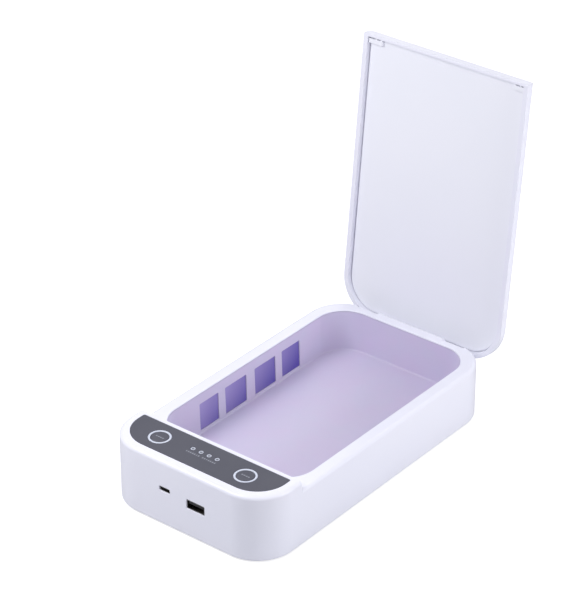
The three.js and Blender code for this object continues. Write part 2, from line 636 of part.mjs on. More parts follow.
function addLid() {
  const lid = new THREE.Group();
  const closed = new THREE.Group();
  closed.position.set(0, -HINGE_Y, -HINGE_Z);
  lid.position.set(0, HINGE_Y, HINGE_Z);
  lid.rotation.x = -THREE.MathUtils.degToRad(LID_OPEN_DEG);
  lid.add(closed);
  model.add(lid);
  add('lid_shell', toGeometry(lidShell()), FINISH.white, closed);
  add('lid_liner', toGeometry(lidLiner()), FINISH.white, closed);
  for (const [label, side] of SIDES) {
    add(`lid_magnet_${label}`, toGeometry(lidMagnet(label, side)), FINISH.magnet, closed);
  }
}

function addHingePinsAndLatch() {
  const half = ARM_WIDTH / 2 + CHEEK;
  const top = RIM_Z - RIM_PLATE - GAP;
  const m = RIM_MAGNET;
  for (const [label, side] of SIDES) {
    const [x0, x1] = mirroredX(HINGE_X - half, HINGE_X + half, side);
    add(`hinge_pin_${label}`, toGeometry(rodX(x0, x1, HINGE_Y, HINGE_Z, PIN_R)), FINISH.steel);
    const [m0, m1] = mirroredX(m.near, m.far, side);
    add(`rim_magnet_${label}`, toGeometry(box(m0, m1, m.front, m.rear, top - m.height, top)), FINISH.magnet);
  }
  const s = LID_SENSOR;
  add('lid_sensor', toGeometry(box(s.left, s.right, s.front, s.rear, top - s.height, top)), FINISH.black);
}

// ---------------------------------------------------------------- assembly

add('body_shell', toGeometry(bodyShell()), FINISH.white);
add('bottom_cover', toGeometry(bottomCover()), FINISH.white);
add('inner_tray', toGeometry(innerTray()), FINISH.lilac);
addFeetAndScrews();
addLamps();
addLampLeads();
addControls();
addControlBoard();
addSockets();
addPower();
addLid();
addHingePinsAndLatch();

// The origin is under the middle of the whole object as it stands open.
const bounds = new THREE.Box3().setFromObject(model, true);
model.position.set(-(bounds.min.x + bounds.max.x) / 2, -(bounds.min.y + bounds.max.y) / 2, -bounds.min.z);

const cabinet = new THREE.Group();
cabinet.add(model);

export default cabinet;
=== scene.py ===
"""Salon sterilizer box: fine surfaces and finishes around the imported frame.

Every length in the dataclasses is in millimetres, in the frame's axes: X to the user's right, Y from the
control deck to the hinge, Z up. Meshes are built in metres, where the frame says that each piece is.
"""

import json
import logging
import math
from contextlib import contextmanager
from dataclasses import dataclass, field
from enum import Enum
from typing import Callable, Iterator, Sequence

import bmesh
import bpy
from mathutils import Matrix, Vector


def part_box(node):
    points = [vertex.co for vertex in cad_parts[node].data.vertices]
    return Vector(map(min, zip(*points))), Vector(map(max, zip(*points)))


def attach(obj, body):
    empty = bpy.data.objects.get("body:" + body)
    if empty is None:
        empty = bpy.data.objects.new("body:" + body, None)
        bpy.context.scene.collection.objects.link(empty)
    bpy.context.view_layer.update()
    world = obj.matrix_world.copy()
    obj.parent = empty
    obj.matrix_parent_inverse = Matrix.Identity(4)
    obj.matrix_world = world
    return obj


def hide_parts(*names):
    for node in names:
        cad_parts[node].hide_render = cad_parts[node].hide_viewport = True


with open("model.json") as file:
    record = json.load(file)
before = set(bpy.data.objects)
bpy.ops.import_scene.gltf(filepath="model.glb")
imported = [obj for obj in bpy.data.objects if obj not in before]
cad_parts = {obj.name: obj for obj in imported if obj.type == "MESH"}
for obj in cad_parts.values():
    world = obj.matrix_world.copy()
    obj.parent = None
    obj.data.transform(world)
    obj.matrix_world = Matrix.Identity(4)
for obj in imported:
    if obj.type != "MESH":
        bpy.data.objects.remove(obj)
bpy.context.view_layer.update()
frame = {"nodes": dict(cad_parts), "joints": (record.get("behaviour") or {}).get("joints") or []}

MM = 0.001
log = logging.getLogger("sterilizer")

Colour = tuple[float, float, float]
Point = tuple[float, float, float]
Corners = tuple[Point, Point, tuple[float, float]]
Spot = tuple[float, float, float, float]
Profile = Sequence[tuple[float, float]]
Object = bpy.types.Object
Edge = bmesh.types.BMEdge
Face = bmesh.types.BMFace
Material = bpy.types.Material
Node = bpy.types.Node
NodeSocket = bpy.types.NodeSocket
NodeTree = bpy.types.NodeTree


class Side(Enum):
    """The two long sides of the box."""

    LEFT = -1
    RIGHT = 1

    @property
    def label(self) -> str:
        """The side's name as it stands in the names of nodes."""
        return self.name.lower()


class Body(Enum):
    """The rigid bodies that pieces ride on."""

    CASE = "case"
    LID = "lid"
    BUTTON_LEFT = "button_left"
    BUTTON_RIGHT = "button_right"


# ---- modelling bench


class Bench:
    """Edit-mode modelling steps that every sub-assembly shares."""

    EDGE_ANGLE = math.radians(32)

    @staticmethod
    def activate(obj: Object) -> None:
        """Selects obj alone and makes it active."""
        bpy.ops.object.select_all(action="DESELECT")
        obj.select_set(True)
        bpy.context.view_layer.objects.active = obj

    @staticmethod
    @contextmanager
    def editing(obj: Object) -> Iterator[None]:
        """Opens obj in edit mode with nothing selected, and closes it again.

        Args:
            obj: the mesh object to edit.
        """
        Bench.activate(obj)
        bpy.ops.object.mode_set(mode="EDIT")
        bpy.ops.mesh.select_mode(type="EDGE")
        bpy.ops.mesh.select_all(action="DESELECT")
        yield
        bpy.ops.object.mode_set(mode="OBJECT")

    @staticmethod
    def pick(obj: Object, test: Callable[[Edge | Face], bool], faces: bool = False) -> int:
        """Selects the edges or the faces that pass a test, in the mesh under edit.

        Args:
            obj: the object in edit mode.
            test: says whether an edge or a face is wanted.
            faces: True picks faces.

        Returns:
            How many are selected.
        """
        if faces:
            bpy.ops.mesh.select_mode(type="FACE")
        mesh = bmesh.from_edit_mesh(obj.data)
        count = 0
        for part in mesh.faces if faces else mesh.edges:
            wanted = test(part)
            part.select_set(wanted)
            count += wanted
        mesh.select_flush_mode()
        bmesh.update_edit_mesh(obj.data)
        return count

    @staticmethod
    def cube(name: str, low: Point, high: Point) -> Object:
        """A box between two corners, with its place in its mesh.

        Args:
            name: the object's name.
            low: lowest corner in millimetres.
            high: highest corner in millimetres.

        Returns:
            The new object, at the origin.
        """
        lo, hi = Vector(low) * MM, Vector(high) * MM
        bpy.ops.object.select_all(action="DESELECT")
        bpy.ops.mesh.primitive_cube_add(size=1, location=(lo + hi) / 2)
        obj = bpy.context.active_object
        obj.name = obj.data.name = name
        obj.scale = hi - lo
        bpy.ops.object.transform_apply(location=True, rotation=True, scale=True)
        return obj

    @staticmethod
    def slab(name: str, spot: Spot, z0: float, z1: float) -> Object:
        """A box given by its middle x and y, its width and depth, and its two heights."""
        x, y, wide, deep = spot
        return Bench.cube(name, (x - wide / 2, y - deep / 2, z0), (x + wide / 2, y + deep / 2, z1))

    @staticmethod
    def joined(name: str, parts: Sequence[Object]) -> Object:
        """Joins several objects into the first one, without a boolean."""
        Bench.activate(parts[0])
        for part in parts:
            part.select_set(True)
        bpy.ops.object.join()
        parts[0].name = parts[0].data.name = name
        return parts[0]

    @staticmethod
    def bevel(obj: Object, test: Callable[[Edge], bool], width: float, steps: int) -> None:
        """Rounds the edges that pass a test.

        Args:
            obj: the object to round.
            test: says whether an edge is wanted.
            width: how far the rounding reaches, in millimetres.
            steps: facets across the rounding.
        """
        with Bench.editing(obj):
            if Bench.pick(obj, test):
                bpy.ops.mesh.bevel(offset=width * MM, segments=steps, affect="EDGES", clamp_overlap=False)

    @staticmethod
    def block(
        name: str,
        low: Point,
        high: Point,
        radii: tuple[float, float],
        plan_steps: int = 18,
        top_r: float = 0.0,
        bottom_r: float = 0.0,
        edge_steps: int = 6,
        lean: float = 0.0,
    ) -> Object:
        """A block with round corners in plan and its own rounding above and below.

        Args:
            name: the object's name.
            low: lowest corner in millimetres.
            high: highest corner in millimetres.
            radii: corner radius at the front and at the rear.
            plan_steps: facets of each quarter-round corner.
            top_r: rounding of the upper edge.
            bottom_r: rounding of the lower edge.
            edge_steps: facets across those roundings.
            lean: how far each side wall leans in by the time it reaches the bottom.

        Returns:
            The new object.
        """
        obj = Bench.cube(name, low, high)
        z0, z1 = low[2] * MM, high[2] * MM
        slack = (lean / 2 + 0.01) * MM
        if lean:
            Bench.lean_in(obj, low, high, lean)
        for radius, y in zip(radii, (low[1] * MM, high[1] * MM)):
            if radius:
                Bench.bevel(obj, lambda e: upright(e) and abs(middle(e).y - y) < slack, radius, plan_steps)
        if top_r:
            Bench.bevel(obj, lambda e: level(e, z1), top_r, edge_steps)
        if bottom_r:
            Bench.bevel(obj, lambda e: level(e, z0), bottom_r, edge_steps)
        return obj

    @staticmethod
    def lean_in(obj: Object, low: Point, high: Point, lean: float) -> None:
        """Shrinks a box's bottom face by lean on every side.

        Args:
            obj: the box.
            low: its lowest corner in millimetres.
            high: its highest corner in millimetres.
            lean: how far each side moves in, in millimetres.
        """
        size = Vector(high) - Vector(low)
        factors = (1 - 2 * lean / size.x, 1 - 2 * lean / size.y, 1)
        centre = (Vector(low) + Vector(high)) / 2 * MM
        with Bench.editing(obj):
            Bench.pick(obj, lambda e: level(e, low[2] * MM))
            bpy.ops.transform.resize(value=factors, center_override=(centre.x, centre.y, low[2] * MM))

    @staticmethod
    def rod(name: str, centre: Point, radius: float, length: float, axis: str, sides: int) -> Object:
        """A round rod along one axis.

        Args:
            name: the object's name.
            centre: its middle in millimetres.
            radius: in millimetres.
            length: in millimetres.
            axis: X, Y or Z.
            sides: facets round it.

        Returns:
            The new object.
        """
        turn = {"X": (0, math.pi / 2, 0), "Y": (math.pi / 2, 0, 0), "Z": (0, 0, 0)}[axis]
        bpy.ops.object.select_all(action="DESELECT")
        bpy.ops.mesh.primitive_cylinder_add(
            vertices=sides, radius=radius * MM, depth=length * MM, location=Vector(centre) * MM, rotation=turn
        )
        obj = bpy.context.active_object
        obj.name = obj.data.name = name
        bpy.ops.object.transform_apply(location=True, rotation=True, scale=True)
        return obj

    @staticmethod
    def turned(name: str, x: float, y: float, profile: Profile, sides: int) -> Object:
        """A turned piece about an upright axis, drawn out ring by ring.

        Args:
            name: the object's name.
            x: where the axis stands, in millimetres.
            y: where the axis stands, in millimetres.
            profile: radius and height of each ring; if the last repeats the first, the piece is a ring.
            sides: facets round it.

        Returns:
            The new closed object.
        """
        first_r, first_z = profile[0]
        bpy.ops.object.select_all(action="DESELECT")
        bpy.ops.mesh.primitive_circle_add(
            vertices=sides, radius=first_r * MM, fill_type="NOTHING", location=(x * MM, y * MM, first_z * MM)
        )
        obj = bpy.context.active_object
        obj.name = obj.data.name = name
        bpy.ops.object.transform_apply(location=True, rotation=True, scale=True)
        with Bench.editing(obj):
            bpy.ops.mesh.select_all(action="SELECT")
            for (r0, z0), (r1, z1) in zip(profile, profile[1:]):
                bpy.ops.mesh.extrude_edges_move(TRANSFORM_OT_translate={"value": (0, 0, (z1 - z0) * MM)})
                grow, here = r1 / r0, (x * MM, y * MM, z1 * MM)
                bpy.ops.transform.resize(value=(grow, grow, 1), center_override=here)
            bpy.ops.mesh.select_all(action="SELECT")
            bpy.ops.mesh.remove_doubles(threshold=1e-7)
            bpy.ops.mesh.select_all(action="SELECT")
            bpy.ops.mesh.fill_holes(sides=0)
            bpy.ops.mesh.select_all(action="SELECT")
            bpy.ops.mesh.normals_make_consistent(inside=False)
        return obj

    @staticmethod
    def combine(obj: Object, operation: str, tools: Sequence[Object]) -> Object:
        """Applies one boolean after another and removes the tools.

        Args:
            obj: the object to change.
            operation: DIFFERENCE, UNION or INTERSECT.
            tools: the objects to combine it with.

        Returns:
            The changed object.
        """
        for tool in tools:
            modifier = obj.modifiers.new("shape", "BOOLEAN")
            modifier.operation = operation
            modifier.solver = "EXACT"
            modifier.object = tool
            Bench.activate(obj)
            bpy.ops.object.modifier_apply(modifier=modifier.name)
            bpy.data.objects.remove(tool)
        return obj

    @staticmethod
    def cut(obj: Object, *tools: Object) -> Object:
        """Takes the tools' shapes out of obj."""
        return Bench.combine(obj, "DIFFERENCE", tools)

    @staticmethod
    def weld(obj: Object, *tools: Object) -> Object:
        """Joins the tools' shapes to obj."""
        return Bench.combine(obj, "UNION", tools)

    @staticmethod
    def slice_off(obj: Object, y: float, keep_front: bool) -> None:
        """Cuts obj square across at one Y and closes the cut.

        Args:
            obj: the object to cut.
            y: where to cut, in millimetres.
            keep_front: True keeps what lies at lower Y.
        """
        with Bench.editing(obj):
            bpy.ops.mesh.select_all(action="SELECT")
            bpy.ops.mesh.bisect(
                plane_co=(0, y * MM, 0),
                plane_no=(0, 1, 0),
                use_fill=True,
                clear_outer=keep_front,
                clear_inner=not keep_front,
            )

    @staticmethod
    def shade(obj: Object, weighted: bool = True) -> Object:
        """Smooths the shading between shallow facets and keeps flat faces flat.

        Args:
            obj: the finished mesh.
            weighted: also weights the normals by face size.

        Returns:
            The same object.
        """
        Bench.activate(obj)
        bpy.ops.object.shade_smooth_by_angle(angle=Bench.EDGE_ANGLE)
        if weighted:
            modifier = obj.modifiers.new("normals", "WEIGHTED_NORMAL")
            modifier.keep_sharp = True
            bpy.ops.object.modifier_apply(modifier=modifier.name)
        return obj

    @staticmethod
    def swing(obj: Object, degrees: float, pivot: Point) -> None:
        """Turns a mesh about a line along X.

        Args:
            obj: the mesh to turn.
            degrees: positive opens the lid, which lifts what lies in front of the pivot.
            pivot: a point on the line, in metres.
        """
        with Bench.editing(obj):
            bpy.ops.mesh.select_all(action="SELECT")
            bpy.ops.transform.rotate(value=math.radians(degrees), orient_axis="X", center_override=pivot)


def middle(edge: Edge) -> Vector:
    """The middle of an edge."""
    return (edge.verts[0].co + edge.verts[1].co) / 2


def upright(edge: Edge) -> bool:
    """Whether an edge stands up, or nearly so."""
    run = edge.verts[1].co - edge.verts[0].co
    return abs(run.z) > 0.9 * run.length


def along(edge: Edge, axis: int) -> bool:
    """Whether an edge runs along one axis."""
    run = edge.verts[1].co - edge.verts[0].co
    return abs(run[axis]) > 0.99 * run.length


def level(edge: Edge, z: float, slack: float = 2e-6) -> bool:
    """Whether both ends of an edge are at the height z, in metres."""
    return all(abs(v.co.z - z) < slack for v in edge.verts)


def folded(edge: Edge, least: float = 1.0) -> bool:
    """Whether the two faces at an edge meet at an angle of at least so many radians."""
    return len(edge.link_faces) == 2 and edge.calc_face_angle(0.0) > least


# ---- shader groups


class Nodes:
    """A node tree under construction: a shared group or one material."""

    def __init__(self, tree: NodeTree) -> None:
        """Takes the tree to build in."""
        self.tree = tree

    def node(self, kind: str, **settings: object) -> Node:
        """Adds a node with some of its settings."""
        made = self.tree.nodes.new(kind)
        for key, value in settings.items():
            setattr(made, key, value)
        return made

    def wire(self, start: NodeSocket, end: NodeSocket) -> None:
        """Links two sockets."""
        self.tree.links.new(start, end)

    def fill(self, socket: NodeSocket, value: NodeSocket | float) -> None:
        """Gives a socket a constant or a link."""
        if isinstance(value, float):
            socket.default_value = value
        else:
            self.wire(value, socket)

    def noise(self, vector: NodeSocket, scale: NodeSocket | float, detail: float) -> NodeSocket:
        """Adds a noise texture and returns its value."""
        made = self.node("ShaderNodeTexNoise")
        for key, value in (("Vector", vector), ("Scale", scale), ("Detail", detail)):
            self.fill(made.inputs[key], value)
        return made.outputs["Fac"]

    def math(self, operation: str, *values: NodeSocket | float) -> NodeSocket:
        """Adds a sum over some values and returns its result."""
        made = self.node("ShaderNodeMath", operation=operation)
        for socket, value in zip(made.inputs, values):
            self.fill(socket, value)
        return made.outputs[0]

    def spread(self, value: NodeSocket, low: float, high: float) -> NodeSocket:
        """How far a value has gone from low to high, from 0 to 1."""
        made = self.node("ShaderNodeMapRange")
        for key, entry in (("Value", value), ("From Min", low), ("From Max", high)):
            self.fill(made.inputs[key], entry)
        return made.outputs["Result"]


class GroupKit(Nodes):
    """Builds a shader node group that materials share."""

    def __init__(self, name: str) -> None:
        """Starts an empty group."""
        super().__init__(bpy.data.node_groups.new(name, "ShaderNodeTree"))
        self.source = self.node("NodeGroupInput")
        self.sink = self.node("NodeGroupOutput")

    def input(self, name: str, kind: str, default: float | None = None) -> NodeSocket:
        """Adds an input and returns its socket inside the group."""
        item = self.tree.interface.new_socket(name, in_out="INPUT", socket_type=kind)
        if default is not None:
            item.default_value = default
        return self.source.outputs[name]

    def output(self, name: str, kind: str, value: NodeSocket) -> None:
        """Adds an output fed by a socket inside the group."""
        self.tree.interface.new_socket(name, in_out="OUTPUT", socket_type=kind)
        self.wire(value, self.sink.inputs[name])


class Effects:
    """The shared effects, each built once when it is first asked for."""

    made: dict[str, NodeTree] = {}

    @classmethod
    def get(cls, name: str) -> NodeTree:
        """Returns the shared group of that name."""
        if name not in cls.made:
            cls.made[name] = getattr(cls, name)()
        return cls.made[name]

    @staticmethod
    def soft_patches() -> NodeTree:
        """Broad, faint drifts between two colours, as in moulded plastic."""
        kit = GroupKit("soft_patches")
        vector = kit.input("Vector", "NodeSocketVector")
        tint = kit.input("Tint", "NodeSocketColor")
        shade = kit.input("Shade", "NodeSocketColor")
        scale = kit.input("Scale", "NodeSocketFloat", 30.0)
        amount = kit.input("Amount", "NodeSocketFloat", 0.5)
        mask = kit.spread(kit.noise(vector, scale, 2.0), 0.35, 0.65)
        blend = kit.node("ShaderNodeMix", data_type="RGBA")
        kit.wire(kit.math("MULTIPLY", mask, amount), blend.inputs["Factor"])
        kit.wire(tint, blend.inputs["A"])
        kit.wire(shade, blend.inputs["B"])
        kit.output("Colour", "NodeSocketColor", blend.outputs["Result"])
        return kit.tree

    @staticmethod
    def mould_grain() -> NodeTree:
        """The fine spark-eroded grain that a mould leaves on plastic."""
        kit = GroupKit("mould_grain")
        vector = kit.input("Vector", "NodeSocketVector")
        scale = kit.input("Scale", "NodeSocketFloat", 2500.0)
        fine = kit.noise(vector, scale, 3.0)
        ripple = kit.noise(vector, 55.0, 1.0)
        height = kit.math("ADD", fine, kit.math("MULTIPLY", ripple, 0.6))
        kit.output("Height", "NodeSocketFloat", height)
        return kit.tree

    @staticmethod
    def handling() -> NodeTree:
        """Roughness that wanders where hands have been, with a few fine scuffs."""
        kit = GroupKit("handling")
        vector = kit.input("Vector", "NodeSocketVector")
        base = kit.input("Roughness", "NodeSocketFloat", 0.4)
        swing = kit.input("Spread", "NodeSocketFloat", 0.1)
        smudge = kit.spread(kit.noise(vector, 42.0, 4.0), 0.38, 0.68)
        stretch = kit.node("ShaderNodeMapping")
        stretch.inputs["Scale"].default_value = (1.0, 0.06, 0.6)
        stretch.inputs["Rotation"].default_value = (0.0, 0.0, 0.5)
        kit.wire(vector, stretch.inputs["Vector"])
        scuff = kit.spread(kit.noise(stretch.outputs["Vector"], 900.0, 2.0), 0.66, 0.8)
        mixed = kit.math("ADD", smudge, kit.math("MULTIPLY", scuff, 0.8))
        offset = kit.math("MULTIPLY", kit.math("SUBTRACT", mixed, 0.45), swing)
        kit.output("Roughness", "NodeSocketFloat", kit.math("ADD", base, offset))
        return kit.tree

    @staticmethod
    def brushed() -> NodeTree:
        """Fine lines along X, as on rolled or stamped sheet metal."""
        kit = GroupKit("brushed")
        vector = kit.input("Vector", "NodeSocketVector")
        stretch = kit.node("ShaderNodeMapping")
        stretch.inputs["Scale"].default_value = (0.05, 1.0, 1.0)
        kit.wire(vector, stretch.inputs["Vector"])
        lines = kit.noise(stretch.outputs["Vector"], 6000.0, 2.0)
        kit.output("Height", "NodeSocketFloat", lines)
        return kit.tree


class Shader(Nodes):
    """One material's node tree, with the shared effects wired into its own shader."""

    def __init__(self, name: str) -> None:
        """Starts a material with a plain Principled shader."""
        self.material = bpy.data.materials.new(name)
        self.material.use_nodes = True
        super().__init__(self.material.node_tree)
        self.bsdf = self.tree.nodes["Principled BSDF"]
        self.place = self.node("ShaderNodeTexCoord").outputs["Object"]

    def set(self, **values: float | tuple) -> None:
        """Sets the shader's own sockets; an underscore in a name stands for a space."""
        for key, value in values.items():
            self.bsdf.inputs[key.replace("_", " ")].default_value = value

    def effect(self, name: str, output: str, **values: float | tuple) -> NodeSocket:
        """Places a shared effect in this material.

        Args:
            name: the effect's name.
            output: which of its outputs is wanted.
            values: its inputs.

        Returns:
            The output's socket.
        """
        group = self.node("ShaderNodeGroup", node_tree=Effects.get(name))
        self.wire(self.place, group.inputs["Vector"])
        for key, value in values.items():
            group.inputs[key].default_value = value
        return group.outputs[output]

    def feed(self, socket: NodeSocket, name: str) -> None:
        """Links a socket to one of the shader's inputs."""
        self.wire(socket, self.bsdf.inputs[name])

    def patches(self, tint: Colour, shade: Colour, scale: float, amount: float) -> None:
        """Colours the shader with broad drifts between a tint and a shade."""
        colours = {"Tint": (*tint, 1), "Shade": (*shade, 1)}
        colour = self.effect("soft_patches", "Colour", Scale=scale, Amount=amount, **colours)
        self.feed(colour, "Base Color")

    def touch(self, rough: float, spread: float) -> None:
        """Roughens the shader, with the marks of handling."""
        self.feed(self.effect("handling", "Roughness", Roughness=rough, Spread=spread), "Roughness")

    def relief(self, name: str, depth: float, **values: float) -> None:
        """Bumps the shader with a shared effect.

        Args:
            name: the effect that gives the height.
            depth: how far a height of 1 stands out, in metres.
            values: the effect's inputs.
        """
        bump = self.node("ShaderNodeBump")
        bump.inputs["Distance"].default_value = depth
        bump.inputs["Strength"].default_value = 1.0
        self.wire(self.effect(name, "Height", **values), bump.inputs["Height"])
        self.feed(bump.outputs["Normal"], "Normal")

    def ramp(self, value: NodeSocket, stops: Sequence[tuple[float, Colour]]) -> NodeSocket:
        """Adds a colour ramp over a value and returns its colour.

        Args:
            value: the value that picks the colour.
            stops: position and colour of each stop.

        Returns:
            The colour socket.
        """
        node = self.node("ShaderNodeValToRGB")
        while len(node.color_ramp.elements) < len(stops):
            node.color_ramp.elements.new(0.5)
        for element, (position, colour) in zip(node.color_ramp.elements, stops):
            element.position = position
            element.color = (*colour, 1.0)
        self.wire(value, node.inputs["Fac"])
        return node.outputs["Color"]


@dataclass(frozen=True)
class Plastic:
    """A moulded plastic, with drifting colour, mould grain and handling marks."""

    name: str
    tint: Colour
    shade: Colour
    rough: float = 0.35
    spread: float = 0.08
    patch_scale: float = 22.0
    patches: float = 0.6
    grain_scale: float = 2400.0
    grain_depth: float = 0.000012
    coat: float = 0.0
    depth: float = 0.0

    def material(self) -> Material:
        """Builds the material."""
        made = Shader(self.name)
        made.patches(self.tint, self.shade, self.patch_scale, self.patches)
        made.touch(self.rough, self.spread)
        made.relief("mould_grain", self.grain_depth, Scale=self.grain_scale)
        made.set(Coat_Weight=self.coat, Coat_Roughness=0.12, IOR=1.49)
        if self.depth:
            made.set(Subsurface_Weight=0.5, Subsurface_Radius=(1.0, 0.9, 1.0), Subsurface_Scale=self.depth)
        return made.material


@dataclass(frozen=True)
class Metal:
    """A bright metal with fine lines."""

    name: str
    tint: Colour
    shade: Colour
    rough: float = 0.25
    line_depth: float = 0.000004

    def material(self) -> Material:
        """Builds the material."""
        made = Shader(self.name)
        made.patches(self.tint, self.shade, 180.0, 0.7)
        made.touch(self.rough, 0.15)
        made.relief("brushed", self.line_depth)
        made.set(Metallic=1.0)
        return made.material


@dataclass(frozen=True)
class LampGlass:
    """The clear quartz of the ultraviolet tubes, with faint drifting grey patches."""

    name: str = "lamp_quartz"

    def material(self) -> Material:
        """Builds the material."""
        made = Shader(self.name)
        made.patches((0.92, 0.93, 0.99), (0.8, 0.82, 0.92), 60.0, 0.5)
        made.set(Transmission_Weight=0.85, Roughness=0.05, IOR=1.46)
        return made.material


@dataclass(frozen=True)
class WindowPane:
    """The violet panes, with painted shade: in each opening the colour darkens towards the floor and the
    rear.

    Attributes:
        spans: low and high Y of each opening, in metres.
        low_z: bottom of the openings, in metres.
        high_z: top of the openings, in metres.
    """

    spans: tuple[tuple[float, float], ...]
    low_z: float
    high_z: float
    # the next two colours are the ends of the painted shade ramp, and the three weights after them set how
    # much painted shade each direction adds
    pale: Colour = (0.345, 0.285, 0.56)
    deep: Colour = (0.085, 0.06, 0.365)
    shade_towards_floor: float = 0.34
    across: float = 0.34
    shade_towards_rear: float = 0.4
    margin: float = 0.002
    name: str = "violet_pane"

    def material(self) -> Material:
        """Builds the material."""
        made = Shader(self.name)
        split = made.node("ShaderNodeSeparateXYZ")
        made.wire(made.place, split.inputs[0])
        y, z = split.outputs["Y"], split.outputs["Z"]
        # painted shade across each opening: from 0 at its front end to 1 at its rear end
        across = 0.0
        for low, high in self.spans:
            inside = made.math("COMPARE", y, (low + high) / 2, (high - low) / 2 + self.margin)
            across = made.math("ADD", across, made.math("MULTIPLY", made.spread(y, low, high), inside))
        # painted shade: the sum darkens the pane towards the floor, towards each opening's rear end and
        # towards the rear of the row
        depth = 0.0
        for value, weight in (
            (made.spread(z, self.high_z, self.low_z), self.shade_towards_floor),
            (across, self.across),
            (made.spread(y, self.spans[0][0], self.spans[-1][1]), self.shade_towards_rear),
        ):
            depth = made.math("ADD", depth, made.math("MULTIPLY", value, weight))
        made.feed(made.ramp(depth, ((0.05, self.pale), (0.95, self.deep))), "Base Color")
        made.touch(0.3, 0.05)
        made.relief("mould_grain", 0.00001, Scale=1800.0)
        made.set(Coat_Weight=0.3, Coat_Roughness=0.1)
        return made.material


Finish = Plastic | Metal | LampGlass | WindowPane

WHITE = Plastic("white_gloss_abs", (0.805, 0.805, 0.885), (0.785, 0.79, 0.88), rough=0.33, coat=0.15)
PANEL = Plastic("white_lid_panel", (0.825, 0.83, 0.885), (0.81, 0.82, 0.88), rough=0.42, patch_scale=14.0)
LILAC = Plastic(
    "lilac_tray", (0.60, 0.562, 0.715), (0.625, 0.542, 0.715), rough=0.4, patch_scale=55.0, depth=0.003
)
COVER = Plastic("white_matt_cover", (0.76, 0.76, 0.85), (0.73, 0.73, 0.83), rough=0.5, grain_depth=0.00003)
OVERLAY = Plastic("grey_overlay", (0.08, 0.081, 0.103), (0.071, 0.073, 0.095), rough=0.5, grain_scale=3200.0)
INK = Plastic("pale_ink", (0.25, 0.26, 0.30), (0.21, 0.22, 0.26), rough=0.5, patch_scale=900.0)
LIGHT_RING = Plastic("frosted_ring", (0.62, 0.65, 0.74), (0.56, 0.6, 0.72), rough=0.3, patch_scale=200.0)
LED_CORE = Plastic(
    "smoked_lens", (0.17, 0.185, 0.215), (0.13, 0.145, 0.18), rough=0.18, patch_scale=400.0, coat=0.5
)
BLACK = Plastic("black_nylon", (0.012, 0.012, 0.014), (0.02, 0.02, 0.022), rough=0.45, patch_scale=300.0)
RUBBER = Plastic("foot_rubber", (0.32, 0.32, 0.35), (0.26, 0.26, 0.29), rough=0.8, grain_depth=0.00004)
SILICONE = Plastic("white_silicone", (0.7, 0.7, 0.72), (0.64, 0.64, 0.67), rough=0.65, patch_scale=120.0)
BOARD = Plastic(
    "board_lacquer", (0.03, 0.17, 0.09), (0.02, 0.13, 0.07), rough=0.35, patch_scale=260.0, coat=0.3
)
FERRITE = Plastic("dark_ferrite", (0.05, 0.045, 0.042), (0.08, 0.07, 0.06), rough=0.7, patch_scale=500.0)
STEEL = Metal("plated_steel", (0.72, 0.72, 0.74), (0.62, 0.62, 0.65), rough=0.22)
# socket shell metal: plated steel, made darker than bare plating so that its tone paints the shade inside the
# socket openings
SHADE_DARKENED_SHIELD = Metal("shade_darkened_shield", (0.3, 0.29, 0.29), (0.22, 0.21, 0.21), rough=0.34)
GILT = Metal("gilt_contact", (0.5, 0.36, 0.17), (0.42, 0.3, 0.13), rough=0.3)
FOIL = Metal("reflector_sheet", (0.88, 0.88, 0.9), (0.8, 0.8, 0.83), rough=0.12)
MAGNET = Metal("nickel_magnet", (0.6, 0.6, 0.62), (0.5, 0.5, 0.52), rough=0.3)


class Finishes:
    """Each finish's material, built once."""

    made: dict[str, Material] = {}

    @classmethod
    def get(cls, finish: Finish) -> Material:
        """Returns the material of a finish."""
        if finish.name not in cls.made:
            cls.made[finish.name] = finish.material()
        return cls.made[finish.name]


def dress(obj: Object, finish: Finish) -> None:
    """Gives an object one finish all over."""
    obj.data.materials.clear()
    obj.data.materials.append(Finishes.get(finish))


def settle(obj: Object, body: Body, slot: str, finish: Finish, *nodes: str) -> None:
    """Finishes a new piece: its look, the body it rides on and the nodes it stands for.

    Args:
        obj: the finished piece.
        body: the body that carries it.
        slot: the record's material slot; not used.
        finish: what it is made of.
        nodes: the frame's nodes that it replaces.
    """
    dress(obj, finish)
    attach(obj, body.value)
    if nodes:
        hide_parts(*nodes)
    log.info("%s: %d faces on %s", obj.name, len(obj.data.polygons), body.value)


def box_mm(node: str) -> tuple[Vector, Vector]:
    """A node's lowest and highest corners in millimetres."""
    low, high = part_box(node)
    return low / MM, high / MM


def disc_mm(node: str) -> tuple[float, float, float]:
    """A round node's middle in plan and its radius, in millimetres."""
    low, high = box_mm(node)
    return (low.x + high.x) / 2, (low.y + high.y) / 2, (high.x - low.x) / 2


def deck_holes(ring_r: float, lens_r: float, z: float, depth: float) -> list[Object]:
    """The cutters for the ring lights and the indicator lenses.

    Args:
        ring_r: radius at a ring light.
        lens_r: radius at an indicator.
        z: middle height of the cutters.
        depth: their length.

    Returns:
        The six round cutters.
    """
    wanted = [(f"ring_light_{side.label}", ring_r) for side in Side]
    wanted += [(f"led_lens_{index}", lens_r) for index in range(1, 5)]
    return [Bench.rod("hole", (*disc_mm(name)[:2], z), radius, depth, "Z", 64) for name, radius in wanted]


# ---- the box's own layout


